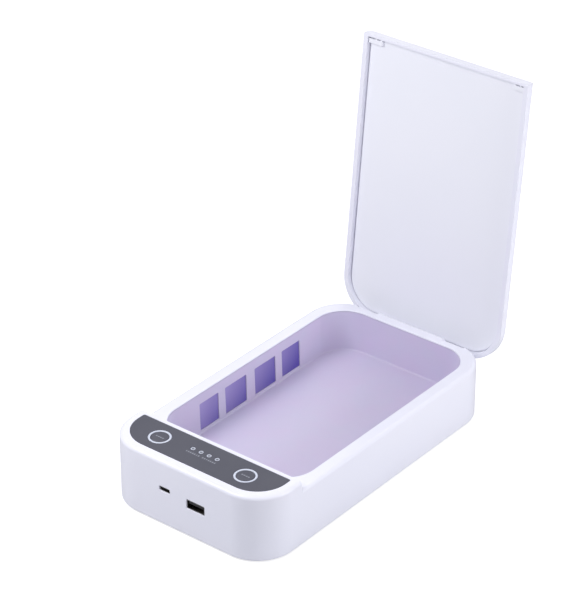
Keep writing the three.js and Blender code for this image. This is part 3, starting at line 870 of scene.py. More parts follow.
@dataclass
class Layout:
    """Where the main surfaces lie, from the frame's own boxes, in millimetres."""

    rim_above_tray: float = 1.2
    deck_behind_overlay: float = 3.0
    gap: float = 0.3
    wall: float = 2.2
    corner_r: float = 25.5
    low: Vector = field(init=False)
    high: Vector = field(init=False)
    rim_z: float = field(init=False)
    deck_rear: float = field(init=False)
    mouth_low: Vector = field(init=False)
    mouth_high: Vector = field(init=False)
    mouth_r: float = 20.0
    hinge: Vector = field(init=False)
    open_degrees: float = field(init=False)

    def __post_init__(self) -> None:
        """Reads the frame."""
        self.low, self.high = box_mm("body_shell")
        self.rim_z = box_mm("inner_tray")[1].z + self.rim_above_tray
        self.deck_rear = box_mm("control_overlay")[1].y + self.deck_behind_overlay
        self.mouth_low = Vector((self.low.x + 9, self.low.y + 36, self.rim_z))
        self.mouth_high = Vector((self.high.x - 9, self.high.y - 8.5, self.rim_z))
        joint = next(j for j in frame["joints"] if j["name"] == "lid_hinge")
        self.hinge = Vector(joint["pos_m"]) / MM
        self.open_degrees = -joint["range_deg"][0]

    def plan(self, inset: float, z0: float, z1: float) -> Corners:
        """The casing's outline moved in by inset, as corners and radii for a block."""
        low = (self.low.x + inset, self.low.y + inset, z0)
        high = (self.high.x - inset, self.high.y - inset, z1)
        return low, high, (self.corner_r - inset, self.corner_r - inset)

    def mouth(self, grow: float, z0: float, z1: float) -> Corners:
        """The tray's opening moved out by grow, as corners and radii for a block."""
        low = (self.mouth_low.x - grow, self.mouth_low.y - grow, z0)
        high = (self.mouth_high.x + grow, self.mouth_high.y + grow, z1)
        return low, high, (self.mouth_r + grow, self.mouth_r + grow)


# ---- casing


@dataclass
class Casing:
    """The white outer casing with its rim and raised control deck."""

    layout: Layout
    top_r: float = 2.5
    bottom_r: float = 1.2
    rim_plate: float = 2.0
    deck_plate: float = 2.7
    lip: float = 0.9
    mouth_edge: float = 0.75
    cheek: float = 3.0
    pin_short: float = 0.6
    play: float = 0.3
    overlay_play: float = 0.25
    housing_front: float = 3.6
    housing_drop: float = 5.75
    pocket_front: float = 4.1
    pocket_drop: float = 3.55
    arm_mouth: float = 3.7
    bore_r: float = 1.6
    ring_hole_r: float = 7.43
    lens_hole_r: float = 1.75

    def build(self) -> None:
        """Models the casing and its two hinge pins and settles them."""
        self.build_shell()
        for side in Side:
            self.build_pin(side)

    def pin_run(self, side: Side) -> tuple[Point, float]:
        """The middle and the length of one hinge pin's bore."""
        low, high = box_mm(f"hinge_pin_{side.label}")
        inner, outer = sorted((abs(low.x), abs(high.x)))
        x = side.value * (inner + outer - self.pin_short) / 2
        return (x, self.layout.hinge.y, self.layout.hinge.z), outer - inner - self.pin_short

    def build_pin(self, side: Side) -> None:
        """One hinge pin, with chamfered ends."""
        name = f"hinge_pin_{side.label}"
        low, high = box_mm(name)
        centre, length = self.pin_run(side)
        half = length / 2 - 0.1
        pin = Bench.rod(f"pin_{side.label}", centre, (high.z - low.z) / 2, half * 2, "X", 40)

        def at_end(edge: Edge) -> bool:
            """Whether an edge runs round one end of the pin."""
            return folded(edge) and abs(middle(edge).x - centre[0] * MM) > (half - 0.01) * MM

        Bench.bevel(pin, at_end, 0.3, 3)
        settle(Bench.shade(pin), Body.CASE, "plated_steel", STEEL, name)

    def build_shell(self) -> None:
        """Models the casing itself."""
        at = self.layout
        outline = at.plan(0, at.low.z, at.rim_z)
        shell = Bench.block("casing", *outline, top_r=self.top_r, bottom_r=self.bottom_r)
        deck = Bench.block("deck", *at.plan(0, at.low.z + 15, at.high.z), top_r=self.top_r)
        Bench.slice_off(deck, at.deck_rear, keep_front=True)
        Bench.bevel(deck, lambda e: along(e, 0) and level(e, at.high.z * MM) and folded(e), 0.6, 4)
        Bench.weld(shell, deck)
        Bench.cut(shell, *self.hollows())
        Bench.weld(shell, *(self.hinge_housing(side) for side in Side))
        Bench.cut(shell, *(tool for side in Side for tool in self.hinge_notch(side)))
        self.soften(shell)
        openings = deck_holes(self.ring_hole_r, self.lens_hole_r, at.high.z, 9)
        Bench.cut(shell, *openings, *self.sockets())
        self.soften_sockets(shell)
        settle(Bench.shade(shell), Body.CASE, "white_casing", WHITE, "body_shell")

    def hollows(self) -> list[Object]:
        """The cutters for the inside, the tray's mouth and the overlay's recess."""
        at = self.layout
        inside = Bench.block("inside", *at.plan(at.wall, -5, at.rim_z - self.rim_plate))
        deck_inside = Bench.block("deck_inside", *at.plan(at.wall, -5, at.high.z - self.deck_plate))
        Bench.slice_off(deck_inside, at.deck_rear - at.wall, keep_front=True)
        mouth = Bench.block("mouth", *at.mouth(0, 20, at.high.z + 5))
        rebate = Bench.block("rebate", *at.mouth(1.9, 20, at.rim_z - self.lip))
        low, high = box_mm("control_overlay")
        side = self.overlay_play
        near, far = (low.x - side, low.y - side, low.z - 0.3), (high.x + side, high.y + side, 60)
        seat = Bench.block("seat", near, far, (20 + side, 1 + side))
        return [inside, deck_inside, mouth, rebate, seat]

    def hinge_housing(self, side: Side) -> Object:
        """The cheeks and sill that hold one hinge pin."""
        at = self.layout
        low, high = box_mm(f"hinge_pin_{side.label}")
        near = (low.x - self.play, at.hinge.y - self.housing_front, at.hinge.z - self.housing_drop)
        return Bench.cube("housing", near, (high.x + self.play, at.high.y - 2, at.rim_z - 1))

    def hinge_notch(self, side: Side) -> list[Object]:
        """The cutters for one hinge arm's pocket and its mouth through the rim and the rear wall."""
        at = self.layout
        low, high = box_mm(f"hinge_pin_{side.label}")
        x0, x1 = low.x + self.cheek - self.play, high.x - self.cheek + self.play
        sill, behind = at.hinge.z - self.pocket_drop, at.high.y + 2
        near = (x0, at.hinge.y - self.pocket_front, sill)
        pocket = Bench.cube("pocket", near, (x1, behind, at.rim_z - self.rim_plate))
        mouth = Bench.cube("arm_mouth", (x0, at.high.y - self.arm_mouth, sill), (x1, behind, at.rim_z + 1))
        centre, length = self.pin_run(side)
        return [pocket, mouth, Bench.rod("pin_bore", centre, self.bore_r, length, "X", 32)]

    def sockets(self) -> list[Object]:
        """The cutters for the two sockets in the front wall."""
        tools = []
        front, play = self.layout.low.y, self.play
        for name, radius in (("usb_a_shell", 0.7), ("micro_usb_shell", 0.6)):
            low, high = box_mm(name)
            far = (high.x + play, front + self.layout.wall + 1, high.z + play)
            tool = Bench.cube("socket_hole", (low.x - play, front - 2, low.z - play), far)
            Bench.bevel(tool, lambda e: along(e, 1), radius, 5)
            tools.append(tool)
        return tools

    def soften(self, shell: Object) -> None:
        """Rounds the edge where the rim turns down into the tray."""
        at = self.layout
        low, high = at.mouth_low * MM, at.mouth_high * MM

        def at_mouth(edge: Edge) -> bool:
            """Whether an edge belongs to the tray's opening in the rim."""
            here = middle(edge)
            slack = 1e-5
            inside = low.x - slack <= here.x <= high.x + slack and low.y - slack <= here.y <= high.y + slack
            return level(edge, at.rim_z * MM) and inside and folded(edge)

        Bench.bevel(shell, at_mouth, self.mouth_edge, 5)

    def soften_sockets(self, shell: Object) -> None:
        """Rounds the front edges of the socket openings."""
        front = self.layout.low.y * MM

        def at_socket(edge: Edge) -> bool:
            """Whether an edge lies in the front face round a socket."""
            on_face = all(abs(v.co.y - front) < 2e-6 for v in edge.verts)
            here = middle(edge)
            return on_face and folded(edge, 0.8) and abs(here.x) < 0.02 and 0.015 < here.z < 0.032

        Bench.bevel(shell, at_socket, 0.35, 3)


# ---- tray and lamp windows


@dataclass
class Tray:
    """The lilac tray with four lamp windows in each long wall."""

    layout: Layout
    wall: float = 1.6
    lean: float = 1.0
    floor_fillet: float = 1.2
    window_low: float = 11.9
    window_high: float = 30.7
    window_halves: tuple[tuple[float, float], ...] = ((4.1, 24.6), (31.1, 49.0))
    pane_gap: float = 0.06
    pane_proud: float = 1.3
    pane_thick: float = 0.8
    window_reach: float = 70

    def spans(self) -> list[tuple[float, float]]:
        """Low and high Y of each window, in millimetres, mirrored about the pane's middle."""
        low, high = box_mm("lamp_window_left")
        mid = (low.y + high.y) / 2
        rear = [(mid + a, mid + b) for a, b in self.window_halves]
        front = [(mid - b, mid - a) for a, b in reversed(self.window_halves)]
        return front + rear

    def build(self) -> None:
        """Models the tray and its window panes and settles them."""
        self.build_tray()
        for side in Side:
            self.build_pane(side)

    def build_tray(self) -> None:
        """Draws the tray's inside, gives it a wall and cuts the windows."""
        low, high = box_mm("inner_tray")
        floor = low.z + self.wall
        inner_low, inner_high, radii = self.layout.mouth(0, floor, high.z)
        tray = Bench.block(
            "tray", inner_low, inner_high, radii, bottom_r=self.floor_fillet, edge_steps=8, lean=self.lean
        )
        with Bench.editing(tray):
            Bench.pick(tray, lambda f: f.normal.z > 0.9, faces=True)
            bpy.ops.mesh.delete(type="FACE")
            bpy.ops.mesh.select_all(action="SELECT")
            bpy.ops.mesh.normals_make_consistent(inside=True)
        solidify = tray.modifiers.new("wall", "SOLIDIFY")
        solidify.thickness = self.wall * MM
        solidify.offset = -1
        Bench.activate(tray)
        bpy.ops.object.modifier_apply(modifier=solidify.name)
        Bench.cut(tray, *self.window_tools())
        self.soften(tray)
        settle(Bench.shade(tray), Body.CASE, "lilac_tray", LILAC, "inner_tray")

    def window_tools(self) -> list[Object]:
        """The cutters for the windows, each through both walls."""
        tools = []
        for low_y, high_y in self.spans():
            reach = self.window_reach
            tool = Bench.cube("window", (-reach, low_y, self.window_low), (reach, high_y, self.window_high))
            Bench.bevel(tool, lambda e: along(e, 0), 0.5, 3)
            tools.append(tool)
        return tools

    def soften(self, tray: Object) -> None:
        """Breaks the sharp edges of the windows on the inside of the walls."""
        low, high = self.window_low * MM - 1e-5, self.window_high * MM + 1e-5
        reach = (self.layout.mouth_high.x - 0.2) * MM

        def at_window(edge: Edge) -> bool:
            """Whether an edge lies round a window on the tray's inner face."""
            here = middle(edge)
            return low <= here.z <= high and 0.045 < abs(here.x) < reach and folded(edge, 0.8)

        Bench.bevel(tray, at_window, 0.22, 2)

    def build_pane(self, side: Side) -> None:
        """Models the violet strip behind one wall's windows."""
        name = f"lamp_window_{side.label}"
        low, high = box_mm(name)
        lean = (high.x - low.x) - self.pane_thick
        pane = Bench.cube(f"window_pane_{side.label}", low, high)
        with Bench.editing(pane):
            outward = side.value
            near, far = (low.x, high.x) if outward > 0 else (high.x, low.x)
            self.push(pane, near, high.z, outward * lean)
            self.push(pane, far, low.z, -outward * lean)
            self.raise_pads(pane, outward)
        Bench.bevel(pane, folded, 0.12, 2)
        Bench.shade(pane)
        spans = tuple((a * MM, b * MM) for a, b in self.spans())
        finish = WindowPane(spans, self.window_low * MM, self.window_high * MM)
        settle(pane, Body.CASE, "violet_window", finish, name)

    def raise_pads(self, pane: Object, outward: int) -> None:
        """Raises a pad for each window, so that the pane nearly fills the opening.

        Args:
            pane: the strip, in edit mode.
            outward: -1 on the left wall, 1 on the right.
        """
        low, high = self.window_low + self.pane_gap, self.window_high - self.pane_gap
        cuts = [((0, 0, z * MM), (0, 0, 1)) for z in (low, high)]
        bays = [(a + self.pane_gap, b - self.pane_gap) for a, b in self.spans()]
        cuts += [((0, y * MM, 0), (0, 1, 0)) for bay in bays for y in bay]
        for point, normal in cuts:
            bpy.ops.mesh.select_all(action="SELECT")
            bpy.ops.mesh.bisect(plane_co=point, plane_no=normal)

        def in_window(face: Face) -> bool:
            """Whether a face looks into the tray from inside one window."""
            here = face.calc_center_median() / MM
            in_bay = any(a < here.y < b for a, b in bays)
            return face.normal.x * outward < -0.9 and low < here.z < high and in_bay

        Bench.pick(pane, in_window, faces=True)
        rise = (-outward * self.pane_proud * MM, 0, 0)
        bpy.ops.mesh.extrude_region_move(TRANSFORM_OT_translate={"value": rise})

    @staticmethod
    def push(pane: Object, x: float, z: float, shift: float) -> None:
        """Moves the long edge at x and z sideways, in millimetres."""
        Bench.pick(pane, lambda e: level(e, z * MM) and all(abs(v.co.x - x * MM) < 1e-6 for v in e.verts))
        bpy.ops.transform.translate(value=(shift * MM, 0, 0))


# ---- lid


@dataclass
class Lid:
    """The lid with its hinge arms and its inner panel, modelled shut and then swung open."""

    layout: Layout
    top_r: float = 2.5
    side_wall: float = 3.4
    front_wall: float = 2.0
    front_gap: float = 0.6
    recess: float = 3.0
    liner: float = 1.35
    liner_gap: float = 0.06
    liner_edge: float = 1.2
    arm_half: float = 8.0
    barrel_r: float = 2.9
    boss_rise: float = 2.0
    boss_inner: tuple[float, float] = (47.7, 50.6)
    boss_slot: float = 1.1
    boss_depth: float = 4.1
    boss_ribs: tuple[tuple[float, float], ...] = ((1.1, 0.6), (5.1, 0.5))
    pin_hole_r: float = 1.8

    def build(self) -> None:
        """Models both pieces and settles them."""
        for piece, slot, finish, node in (
            (self.shell(), "white_casing", WHITE, "lid_shell"),
            (self.panel(), "white_casing", PANEL, "lid_liner"),
        ):
            Bench.swing(piece, self.layout.open_degrees, self.layout.hinge * MM)
            settle(Bench.shade(piece), Body.LID, slot, finish, node)

    @property
    def low_z(self) -> float:
        """The lid's lower edge when it is shut."""
        return self.layout.rim_z + self.layout.gap

    @property
    def front(self) -> float:
        """The lid's front face when it is shut."""
        return self.layout.deck_rear + self.front_gap

    def pan(self, inset: float, front: float, z0: float, z1: float, front_r: float = 0.8) -> Corners:
        """The lid's outline moved in by inset, with nearly square front corners."""
        at = self.layout
        radius = at.corner_r - inset
        return (at.low.x + inset, front, z0), (at.high.x - inset, at.high.y - inset, z1), (front_r, radius)

    def shell(self) -> Object:
        """The outer shell: a pan with rounded upper edges and two hinge arms."""
        at = self.layout
        shell = Bench.block("lid_case", *at.plan(0, self.low_z, at.high.z), top_r=self.top_r, bottom_r=0.4)
        Bench.slice_off(shell, self.front, keep_front=False)
        front = self.front * MM

        def front_rim(edge: Edge) -> bool:
            """Whether an edge bounds the lid's flat front end."""
            return folded(edge) and all(abs(v.co.y - front) < 2e-6 for v in edge.verts)

        Bench.bevel(shell, front_rim, 0.5, 3)
        liner_top = self.low_z + self.recess + self.liner + at.gap
        hollow = Bench.block("pan", *self.pan(self.side_wall, self.front + self.front_wall, 20, liner_top))
        Bench.cut(shell, hollow)
        self.soften(shell)
        for side in Side:
            Bench.weld(shell, *self.arm(side))
        Bench.cut(shell, *(self.bore(side) for side in Side))
        return shell

    def soften(self, shell: Object) -> None:
        """Rounds the inner edge of the lid's wall."""
        at = self.layout
        reach = (at.high.x - self.side_wall) * MM + 1e-5

        def inner_edge(edge: Edge) -> bool:
            """Whether an edge runs round the mouth of the pan."""
            here = middle(edge)
            behind = here.y < (at.high.y - self.side_wall) * MM + 1e-5
            return level(edge, self.low_z * MM) and abs(here.x) < reach and behind and folded(edge)

        Bench.bevel(shell, inner_edge, 0.35, 3)

    def arm(self, side: Side) -> list[Object]:
        """One hinge arm: a web down from the lid's rear wall and the barrel round the pin."""
        at = self.layout
        low, high = box_mm(f"hinge_pin_{side.label}")
        mid = (low.x + high.x) / 2
        x0, x1 = mid - self.arm_half, mid + self.arm_half
        web = Bench.cube("web", (x0, at.high.y - self.side_wall, at.hinge.z), (x1, at.high.y, self.low_z + 3))
        barrel = Bench.rod("barrel", (mid, at.hinge.y, at.hinge.z), self.barrel_r, x1 - x0, "X", 64)
        return [web, barrel]

    def bore(self, side: Side) -> Object:
        """The cutter for the pin's hole through one arm."""
        at = self.layout
        low, high = box_mm(f"hinge_pin_{side.label}")
        return Bench.rod("bore", ((low.x + high.x) / 2, at.hinge.y, at.hinge.z), self.pin_hole_r, 30, "X", 32)

    def panel(self) -> Object:
        """The inner panel, rolled over at its edge, with a magnet boss in each front corner."""
        face = self.low_z + self.recess
        inset = self.side_wall + self.liner_gap
        front = self.front + self.front_wall + self.liner_gap
        corners = self.pan(inset, front, face, face + self.liner, self.liner_edge + 0.5)
        panel = Bench.block("lid_panel", *corners, bottom_r=self.liner_edge, edge_steps=6)
        edge_x = self.layout.high.x - inset - 0.15
        for side, inner in zip(Side, self.boss_inner):
            Bench.weld(panel, self.boss(side, inner, face, front, edge_x))
            x0, x1 = sorted((side.value * (inner + 1.1), side.value * (edge_x - 1.4)))
            low = (x0, front + self.boss_slot + 0.6, face - self.boss_rise + 0.6)
            Bench.cut(panel, Bench.cube("magnet_pocket", low, (x1, front + 3.5, face + self.liner + 1)))
        return panel

    def boss(self, side: Side, inner: float, face: float, front: float, edge_x: float) -> Object:
        """One magnet boss: a low block, tied to the lid's front wall by ribs with slots between them.

        Args:
            side: which corner.
            inner: distance of the boss's inner end from the lid's middle.
            face: height of the panel's face when the lid is shut.
            front: the panel's front edge.
            edge_x: the panel's side edge.

        Returns:
            The boss, ready to weld to the panel.
        """
        top, foot = face - self.boss_rise, face + 0.5
        x0, x1 = sorted((side.value * inner, side.value * edge_x))
        boss = Bench.cube("boss", (x0, front + self.boss_slot, top), (x1, front + self.boss_depth, foot))
        Bench.bevel(boss, lambda e: folded(e) and middle(e).z < face * MM, 0.3, 3)
        for offset, half in self.boss_ribs:
            mid = side.value * (inner + offset)
            low = (mid - half, front + 0.05, top + 0.25)
            Bench.weld(boss, Bench.cube("rib", low, (mid + half, front + self.boss_slot + 1, foot - 0.1)))
        return boss


# ---- control deck


@dataclass
class ControlDeck:
    """The dark overlay, its buttons in light rings, the indicator lenses and the printed ticks."""

    ring_r: float = 7.13
    ring_inner: float = 5.78
    cap_r: float = 5.6
    led_r: float = 1.45
    ring_flange_r: float = 8.55
    led_flange_r: float = 2.25
    led_bore: float = 0.95
    play: float = 0.12
    ink: float = 0.02
    tick_count: int = 15
    tick_drop: float = 4.1
    dashes: tuple[float, ...] = (-2.4, -0.8, 0.8, 2.4)

    def build(self) -> None:
        """Models and settles every piece of the deck."""
        self.build_overlay()
        for side, body in zip(Side, (Body.BUTTON_LEFT, Body.BUTTON_RIGHT)):
            self.build_ring(side)
            self.build_button(side, body)
        for index in range(1, 5):
            self.build_led(index)
        self.build_ticks()

    def build_overlay(self) -> None:
        """The overlay: round at its two front corners, nearly square at the rear."""
        low, high = box_mm("control_overlay")
        sheet = Bench.block("deck_overlay", low, high, (20, 1), plan_steps=24, top_r=0.18, edge_steps=2)
        Bench.cut(sheet, *deck_holes(self.ring_r + self.play, self.led_r + self.play, high.z, 4))
        settle(Bench.shade(sheet), Body.CASE, "grey_overlay", OVERLAY, "control_overlay")

    def build_ring(self, side: Side) -> None:
        """The light ring round one button, with its flange under the deck."""
        name = f"ring_light_{side.label}"
        low, high = box_mm(name)
        x, y, _ = disc_mm(name)
        top, under, flange = high.z, low.z, low.z + 1.4
        inner, outer = self.ring_inner, self.ring_r
        profile = [
            (inner, top - 0.12), (inner, under), (self.ring_flange_r, under), (self.ring_flange_r, flange),
            (outer, flange), (outer, top - 0.15), (outer - 0.15, top), (inner + 0.15, top),
            (inner, top - 0.12),
        ]
        ring = Bench.turned(f"button_ring_{side.label}", x, y, profile, 72)
        settle(Bench.shade(ring), Body.CASE, "light_guide", LIGHT_RING, name)

    def build_button(self, side: Side, body: Body) -> None:
        """One push button with a dished top, and the pale dashes printed on it."""
        name = f"push_button_{side.label}"
        low, high = box_mm(name)
        x, y, _ = disc_mm(name)
        top, under, r = high.z, low.z, self.cap_r
        profile = [
            (0.9, under), (1.75, under), (1.75, under + 1.1), (6.55, under + 1.1), (6.55, under + 2.1),
            (r, under + 2.1), (r, top - 0.45), (r - 0.12, top - 0.2), (r - 0.4, top), (4.4, top - 0.06),
            (3.2, top - 0.14), (2.0, top - 0.2), (0.8, top - 0.23),
        ]
        cap = Bench.turned(f"button_cap_{side.label}", x, y, profile, 72)
        settle(Bench.shade(cap, weighted=False), body, "grey_overlay", OVERLAY, name)
        spots = [(x + offset, y, 1.25, 0.95) for offset in self.dashes]
        dashes = self.marks(f"button_dashes_{side.label}", spots, top - 0.17)
        settle(dashes, body, "light_guide", INK)

    def build_led(self, index: int) -> None:
        """One indicator: a pale rim round a smoked lens."""
        name = f"led_lens_{index}"
        low, high = box_mm(name)
        x, y, _ = disc_mm(name)
        top, under, r = high.z, low.z, self.led_r
        bore, flange, step, ledge = self.led_bore, self.led_flange_r, under + 5.7, under + 7.1
        rim = [
            (bore, top - 0.1), (bore, under), (r, under), (r, step), (flange, step), (flange, ledge),
            (r, ledge), (r, top - 0.12), (r - 0.12, top), (1.05, top), (bore, top - 0.1),
        ]
        bezel = Bench.turned(f"led_rim_{index}", x, y, rim, 40)
        settle(Bench.shade(bezel), Body.CASE, "light_guide", LIGHT_RING, name)
        dome = [(0.5, under + 6), (0.92, under + 6), (0.92, top - 0.3), (0.75, top - 0.12), (0.4, top - 0.04)]
        core = Bench.turned(f"led_core_{index}", x, y, dome, 40)
        settle(Bench.shade(core, weighted=False), Body.CASE, "light_guide", LED_CORE)

    def build_ticks(self) -> None:
        """A row of plain ticks under the indicators, with a gap in its middle."""
        first, last = box_mm("led_lens_1"), box_mm("led_lens_4")
        left, right = first[0].x + 0.8, last[1].x - 0.8
        y = disc_mm("led_lens_1")[1] - self.tick_drop
        step = (right - left) / (self.tick_count - 1)
        shown = [index for index in range(self.tick_count) if index != self.tick_count // 2]
        spots = [(left + index * step, y, 0.95 if index % 5 else 0.6, 1.35) for index in shown]
        ticks = self.marks("deck_ticks", spots, box_mm("control_overlay")[1].z)
        settle(ticks, Body.CASE, "light_guide", INK)

    def marks(self, name: str, spots: Sequence[Spot], z: float) -> Object:
        """Small printed bars as one mesh.

        Args:
            name: the object's name.
            spots: middle x and y, width and depth of each bar.
            z: the surface they are printed on.

        Returns:
            The joined bars.
        """
        bars = [Bench.slab(name, spot, z - 0.05, z + self.ink) for spot in spots]
        for bar, spot in zip(bars, spots):
            Bench.bevel(bar, upright, min(spot[2:]) * 0.3, 3)
        return Bench.joined(name, bars)


# ---- sockets


@dataclass
class Sockets:
    """The USB-A outlet and the micro-USB inlet, with their tongues and contacts."""

    usb_sheet: float = 0.3
    micro_sheet: float = 0.25
    usb_rise: float = 0.15
    micro_rise: float = -0.2

    def build(self) -> None:
        """Models and settles both sockets."""
        self.shell("usb_a", self.usb_sheet, 0.5, 0.0)
        self.shell("micro_usb", self.micro_sheet, 0.35, 0.75)
        self.tongue("usb_a", (11.1, 1.84), self.usb_rise, 2.5)
        self.tongue("micro_usb", (4.6, 0.6), self.micro_rise, 1.2)
        self.contacts("usb_a", (-3.5, -1.0, 1.0, 3.5), 1.0, self.usb_rise)
        self.contacts("micro_usb", (-1.3, -0.65, 0.0, 0.65, 1.3), 0.35, self.micro_rise)

    @staticmethod
    def middle_of(kind: str) -> tuple[float, float]:
        """The middle X and Z of a socket's opening."""
        low, high = box_mm(f"{kind}_shell")
        return (low.x + high.x) / 2, (low.z + high.z) / 2

    def shell(self, kind: str, sheet: float, corner: float, lower_corner: float) -> None:
        """The folded metal shell: a box opened from its front, with rounded or cut lower corners.

        Args:
            kind: which socket.
            sheet: the metal's thickness.
            corner: rounding of the long edges.
            lower_corner: chamfer of the two lower long edges, or 0.
        """
        low, high = box_mm(f"{kind}_shell")
        mid_z = (low.z + high.z) / 2 * MM
        shell = Bench.cube(f"{kind}_metal_shell", low, high)
        if lower_corner:
            Bench.bevel(shell, lambda e: along(e, 1) and middle(e).z < mid_z, lower_corner, 1)
            Bench.bevel(shell, lambda e: along(e, 1) and middle(e).z > mid_z, corner, 4)
        else:
            Bench.bevel(shell, lambda e: along(e, 1), corner, 4)
        depth = high.y - low.y - sheet
        with Bench.editing(shell):
            Bench.pick(shell, lambda f: f.normal.y < -0.9, faces=True)
            bpy.ops.mesh.inset(thickness=sheet * MM)
            bpy.ops.mesh.extrude_region_move(TRANSFORM_OT_translate={"value": (0, depth * MM, 0)})
        Bench.bevel(shell, lambda e: folded(e) and middle(e).y < low.y * MM + 1e-6, 0.08, 2)
        # the shell's darkened metal paints the shade inside the opening
        settle(Bench.shade(shell), Body.CASE, "plated_steel", SHADE_DARKENED_SHIELD, f"{kind}_shell")

    def tongue(self, kind: str, section: tuple[float, float], rise: float, back: float) -> None:
        """The insulating block at the back of a socket and the tongue that stands out of it.

        Args:
            kind: which socket.
            section: the tongue's width and thickness.
            rise: height of the tongue's underside above the socket's middle.
            back: how deep the block is.
        """
        low, high = box_mm(f"{kind}_tongue")
        x, z = self.middle_of(kind)
        wide, thick = section
        block = Bench.cube(f"{kind}_insulator", (low.x, high.y - back, low.z), high)
        Bench.bevel(block, lambda e: along(e, 1), 0.3, 3)
        near, far = (x - wide / 2, low.y, z + rise), (x + wide / 2, high.y - 1, z + rise + thick)
        tongue = Bench.cube("tongue", near, far)
        Bench.bevel(tongue, lambda e: folded(e) and middle(e).y < low.y * MM + 1e-6, 0.15, 2)
        Bench.weld(block, tongue)
        settle(Bench.shade(block), Body.CASE, "black_plastic", BLACK, f"{kind}_tongue")

    def contacts(self, kind: str, places: Sequence[float], wide: float, rise: float) -> None:
        """The gilt contacts under a tongue.

        Args:
            kind: which socket.
            places: distance of each contact from the socket's middle.
            wide: width of a contact.
            rise: height of the tongue's underside above the socket's middle.
        """
        low, high = box_mm(f"{kind}_tongue")
        x, z = self.middle_of(kind)
        front, back, under = low.y + 0.5, high.y - 2, z + rise
        strips = []
        for place in places:
            x0, x1 = x + place - wide / 2, x + place + wide / 2
            strip = Bench.cube(f"{kind}_contacts", (x0, front, under - 0.1), (x1, back, under + 0.05))
            Bench.bevel(strip, lambda e: folded(e) and middle(e).y < front * MM + 1e-6, 0.05, 2)
            strips.append(strip)
        settle(Bench.joined(f"{kind}_contacts", strips), Body.CASE, "plated_steel", GILT)


# ---- underside


@dataclass
class Underside:
    """The bottom cover with its ribs and board posts, the rubber feet and the cross-headed screws."""

    layout: Layout
    plate_top: float = 3.6
    rib_top: float = 8.1
    rib_size: tuple[float, float] = (72, 1.6)
    ribs: tuple[float, ...] = (-76.18, -21.18, 33.82, 73.82)
    post_r: float = 1.8
    power_posts: Profile = ((-2.0, -122.18), (-2.0, -103.18), (40.0, -122.18), (40.0, -103.18))
    charge_posts: Profile = ((-20.5, -122.18), (-10.5, -111.18))
    thread_turns: int = 8
    thread_pitch: float = 1.1

    def build(self) -> None:
        """Models and settles the cover, the four feet and the four screws."""
        self.cover()
        for index in range(1, 5):
            self.foot(index)
            self.screw(index)

    def cover(self) -> None:
        """The cover: a plate with a rolled lower edge, stiffening ribs, posts and recesses."""
        at = self.layout
        low = box_mm("bottom_cover")[0]
        base = low.z + 1
        outline = at.plan(low.x - at.low.x, low.z, self.plate_top)
        cover = Bench.block("base_cover", *outline, bottom_r=0.5, edge_steps=3)
        ribs = [Bench.slab("rib", (0, y, *self.rib_size), base, self.rib_top) for y in self.ribs]
        for rib in ribs:
            Bench.bevel(rib, lambda e: folded(e) and middle(e).z > 0.007, 0.25, 2)
        Bench.weld(cover, *ribs)
        for board, spots in (("power_board", self.power_posts), ("charge_board", self.charge_posts)):
            top = box_mm(board)[0].z - at.gap
            for x, y in spots:
                post = Bench.rod("post", (x, y, (base + top) / 2), self.post_r, top - base, "Z", 28)
                Bench.bevel(post, lambda e: level(e, top * MM), 0.3, 2)
                Bench.weld(cover, post)
        Bench.cut(cover, *self.recesses(low.z))
        settle(Bench.shade(cover), Body.CASE, "white_casing", COVER, "bottom_cover")

    def recesses(self, under: float) -> list[Object]:
        """The cutters for the feet, the screws and a shallow blank panel under the middle.

        Args:
            under: the cover's lower face.

        Returns:
            The cutters.
        """
        near, far = (-27, -46, under - 1), (27, 4, under + 0.25)
        tools = [Bench.block("blank_panel", near, far, (3, 3), plan_steps=8)]
        for index in range(1, 5):
            foot, screw = f"rubber_foot_{index}", f"cover_screw_{index}"
            x, y, r = disc_mm(foot)
            seat_z = box_mm(foot)[1].z - 2.2
            tools.append(Bench.rod("foot_seat", (x, y, seat_z), r + self.layout.gap, 5, "Z", 48))
            x, y, r = disc_mm(screw)
            tools.append(Bench.rod("head_seat", (x, y, 0), r + self.layout.gap, 5.2, "Z", 40))
            tools.append(Bench.rod("shank_hole", (x, y, 2.5), 1.55, 6, "Z", 28))
        return tools

    @staticmethod
    def foot(index: int) -> None:
        """One foot: a rounded disc with a shallow ring pressed into its underside."""
        name = f"rubber_foot_{index}"
        low, high = box_mm(name)
        x, y, r = disc_mm(name)
        z, top = low.z, high.z
        profile = [
            (2.4, z + 0.25), (2.7, z), (4.2, z), (r - 0.35, z + 0.12), (r - 0.08, z + 0.4),
            (r, z + 0.75), (r, top - 0.1), (r - 0.1, top),
        ]
        foot = Bench.turned(f"foot_pad_{index}", x, y, profile, 48)
        settle(Bench.shade(foot, weighted=False), Body.CASE, "foot_rubber", RUBBER, name)

    def screw(self, index: int) -> None:
        """One screw: a pan head with a cross recess and a pointed shank."""
        name = f"cover_screw_{index}"
        low, high = box_mm(name)
        x, y, r = disc_mm(name)
        z = low.z
        profile = [(r * 0.5, z), (r * 0.86, z + 0.1), (r, z + 0.35), (r, z + 0.8), (1.2, z + 0.8)]
        for turn in range(self.thread_turns):
            base = z + 0.9 + turn * self.thread_pitch
            profile += [(1.25, base + 0.1), (1.25, base + 0.25), (0.95, base + 0.6), (0.95, base + 0.85)]
        profile += [(0.6, high.z - 0.6), (0.2, high.z)]
        screw = Bench.turned(f"cross_screw_{index}", x, y, profile, 28)
        for half_x, half_y in ((1.35, 0.28), (0.28, 1.35)):
            near, far = (x - half_x, y - half_y, z - 1), (x + half_x, y + half_y, z + 0.55)
            Bench.cut(screw, Bench.cube("slot", near, far))
        settle(Bench.shade(screw, weighted=False), Body.CASE, "plated_steel", STEEL, name)


# ---- lamps and electronics


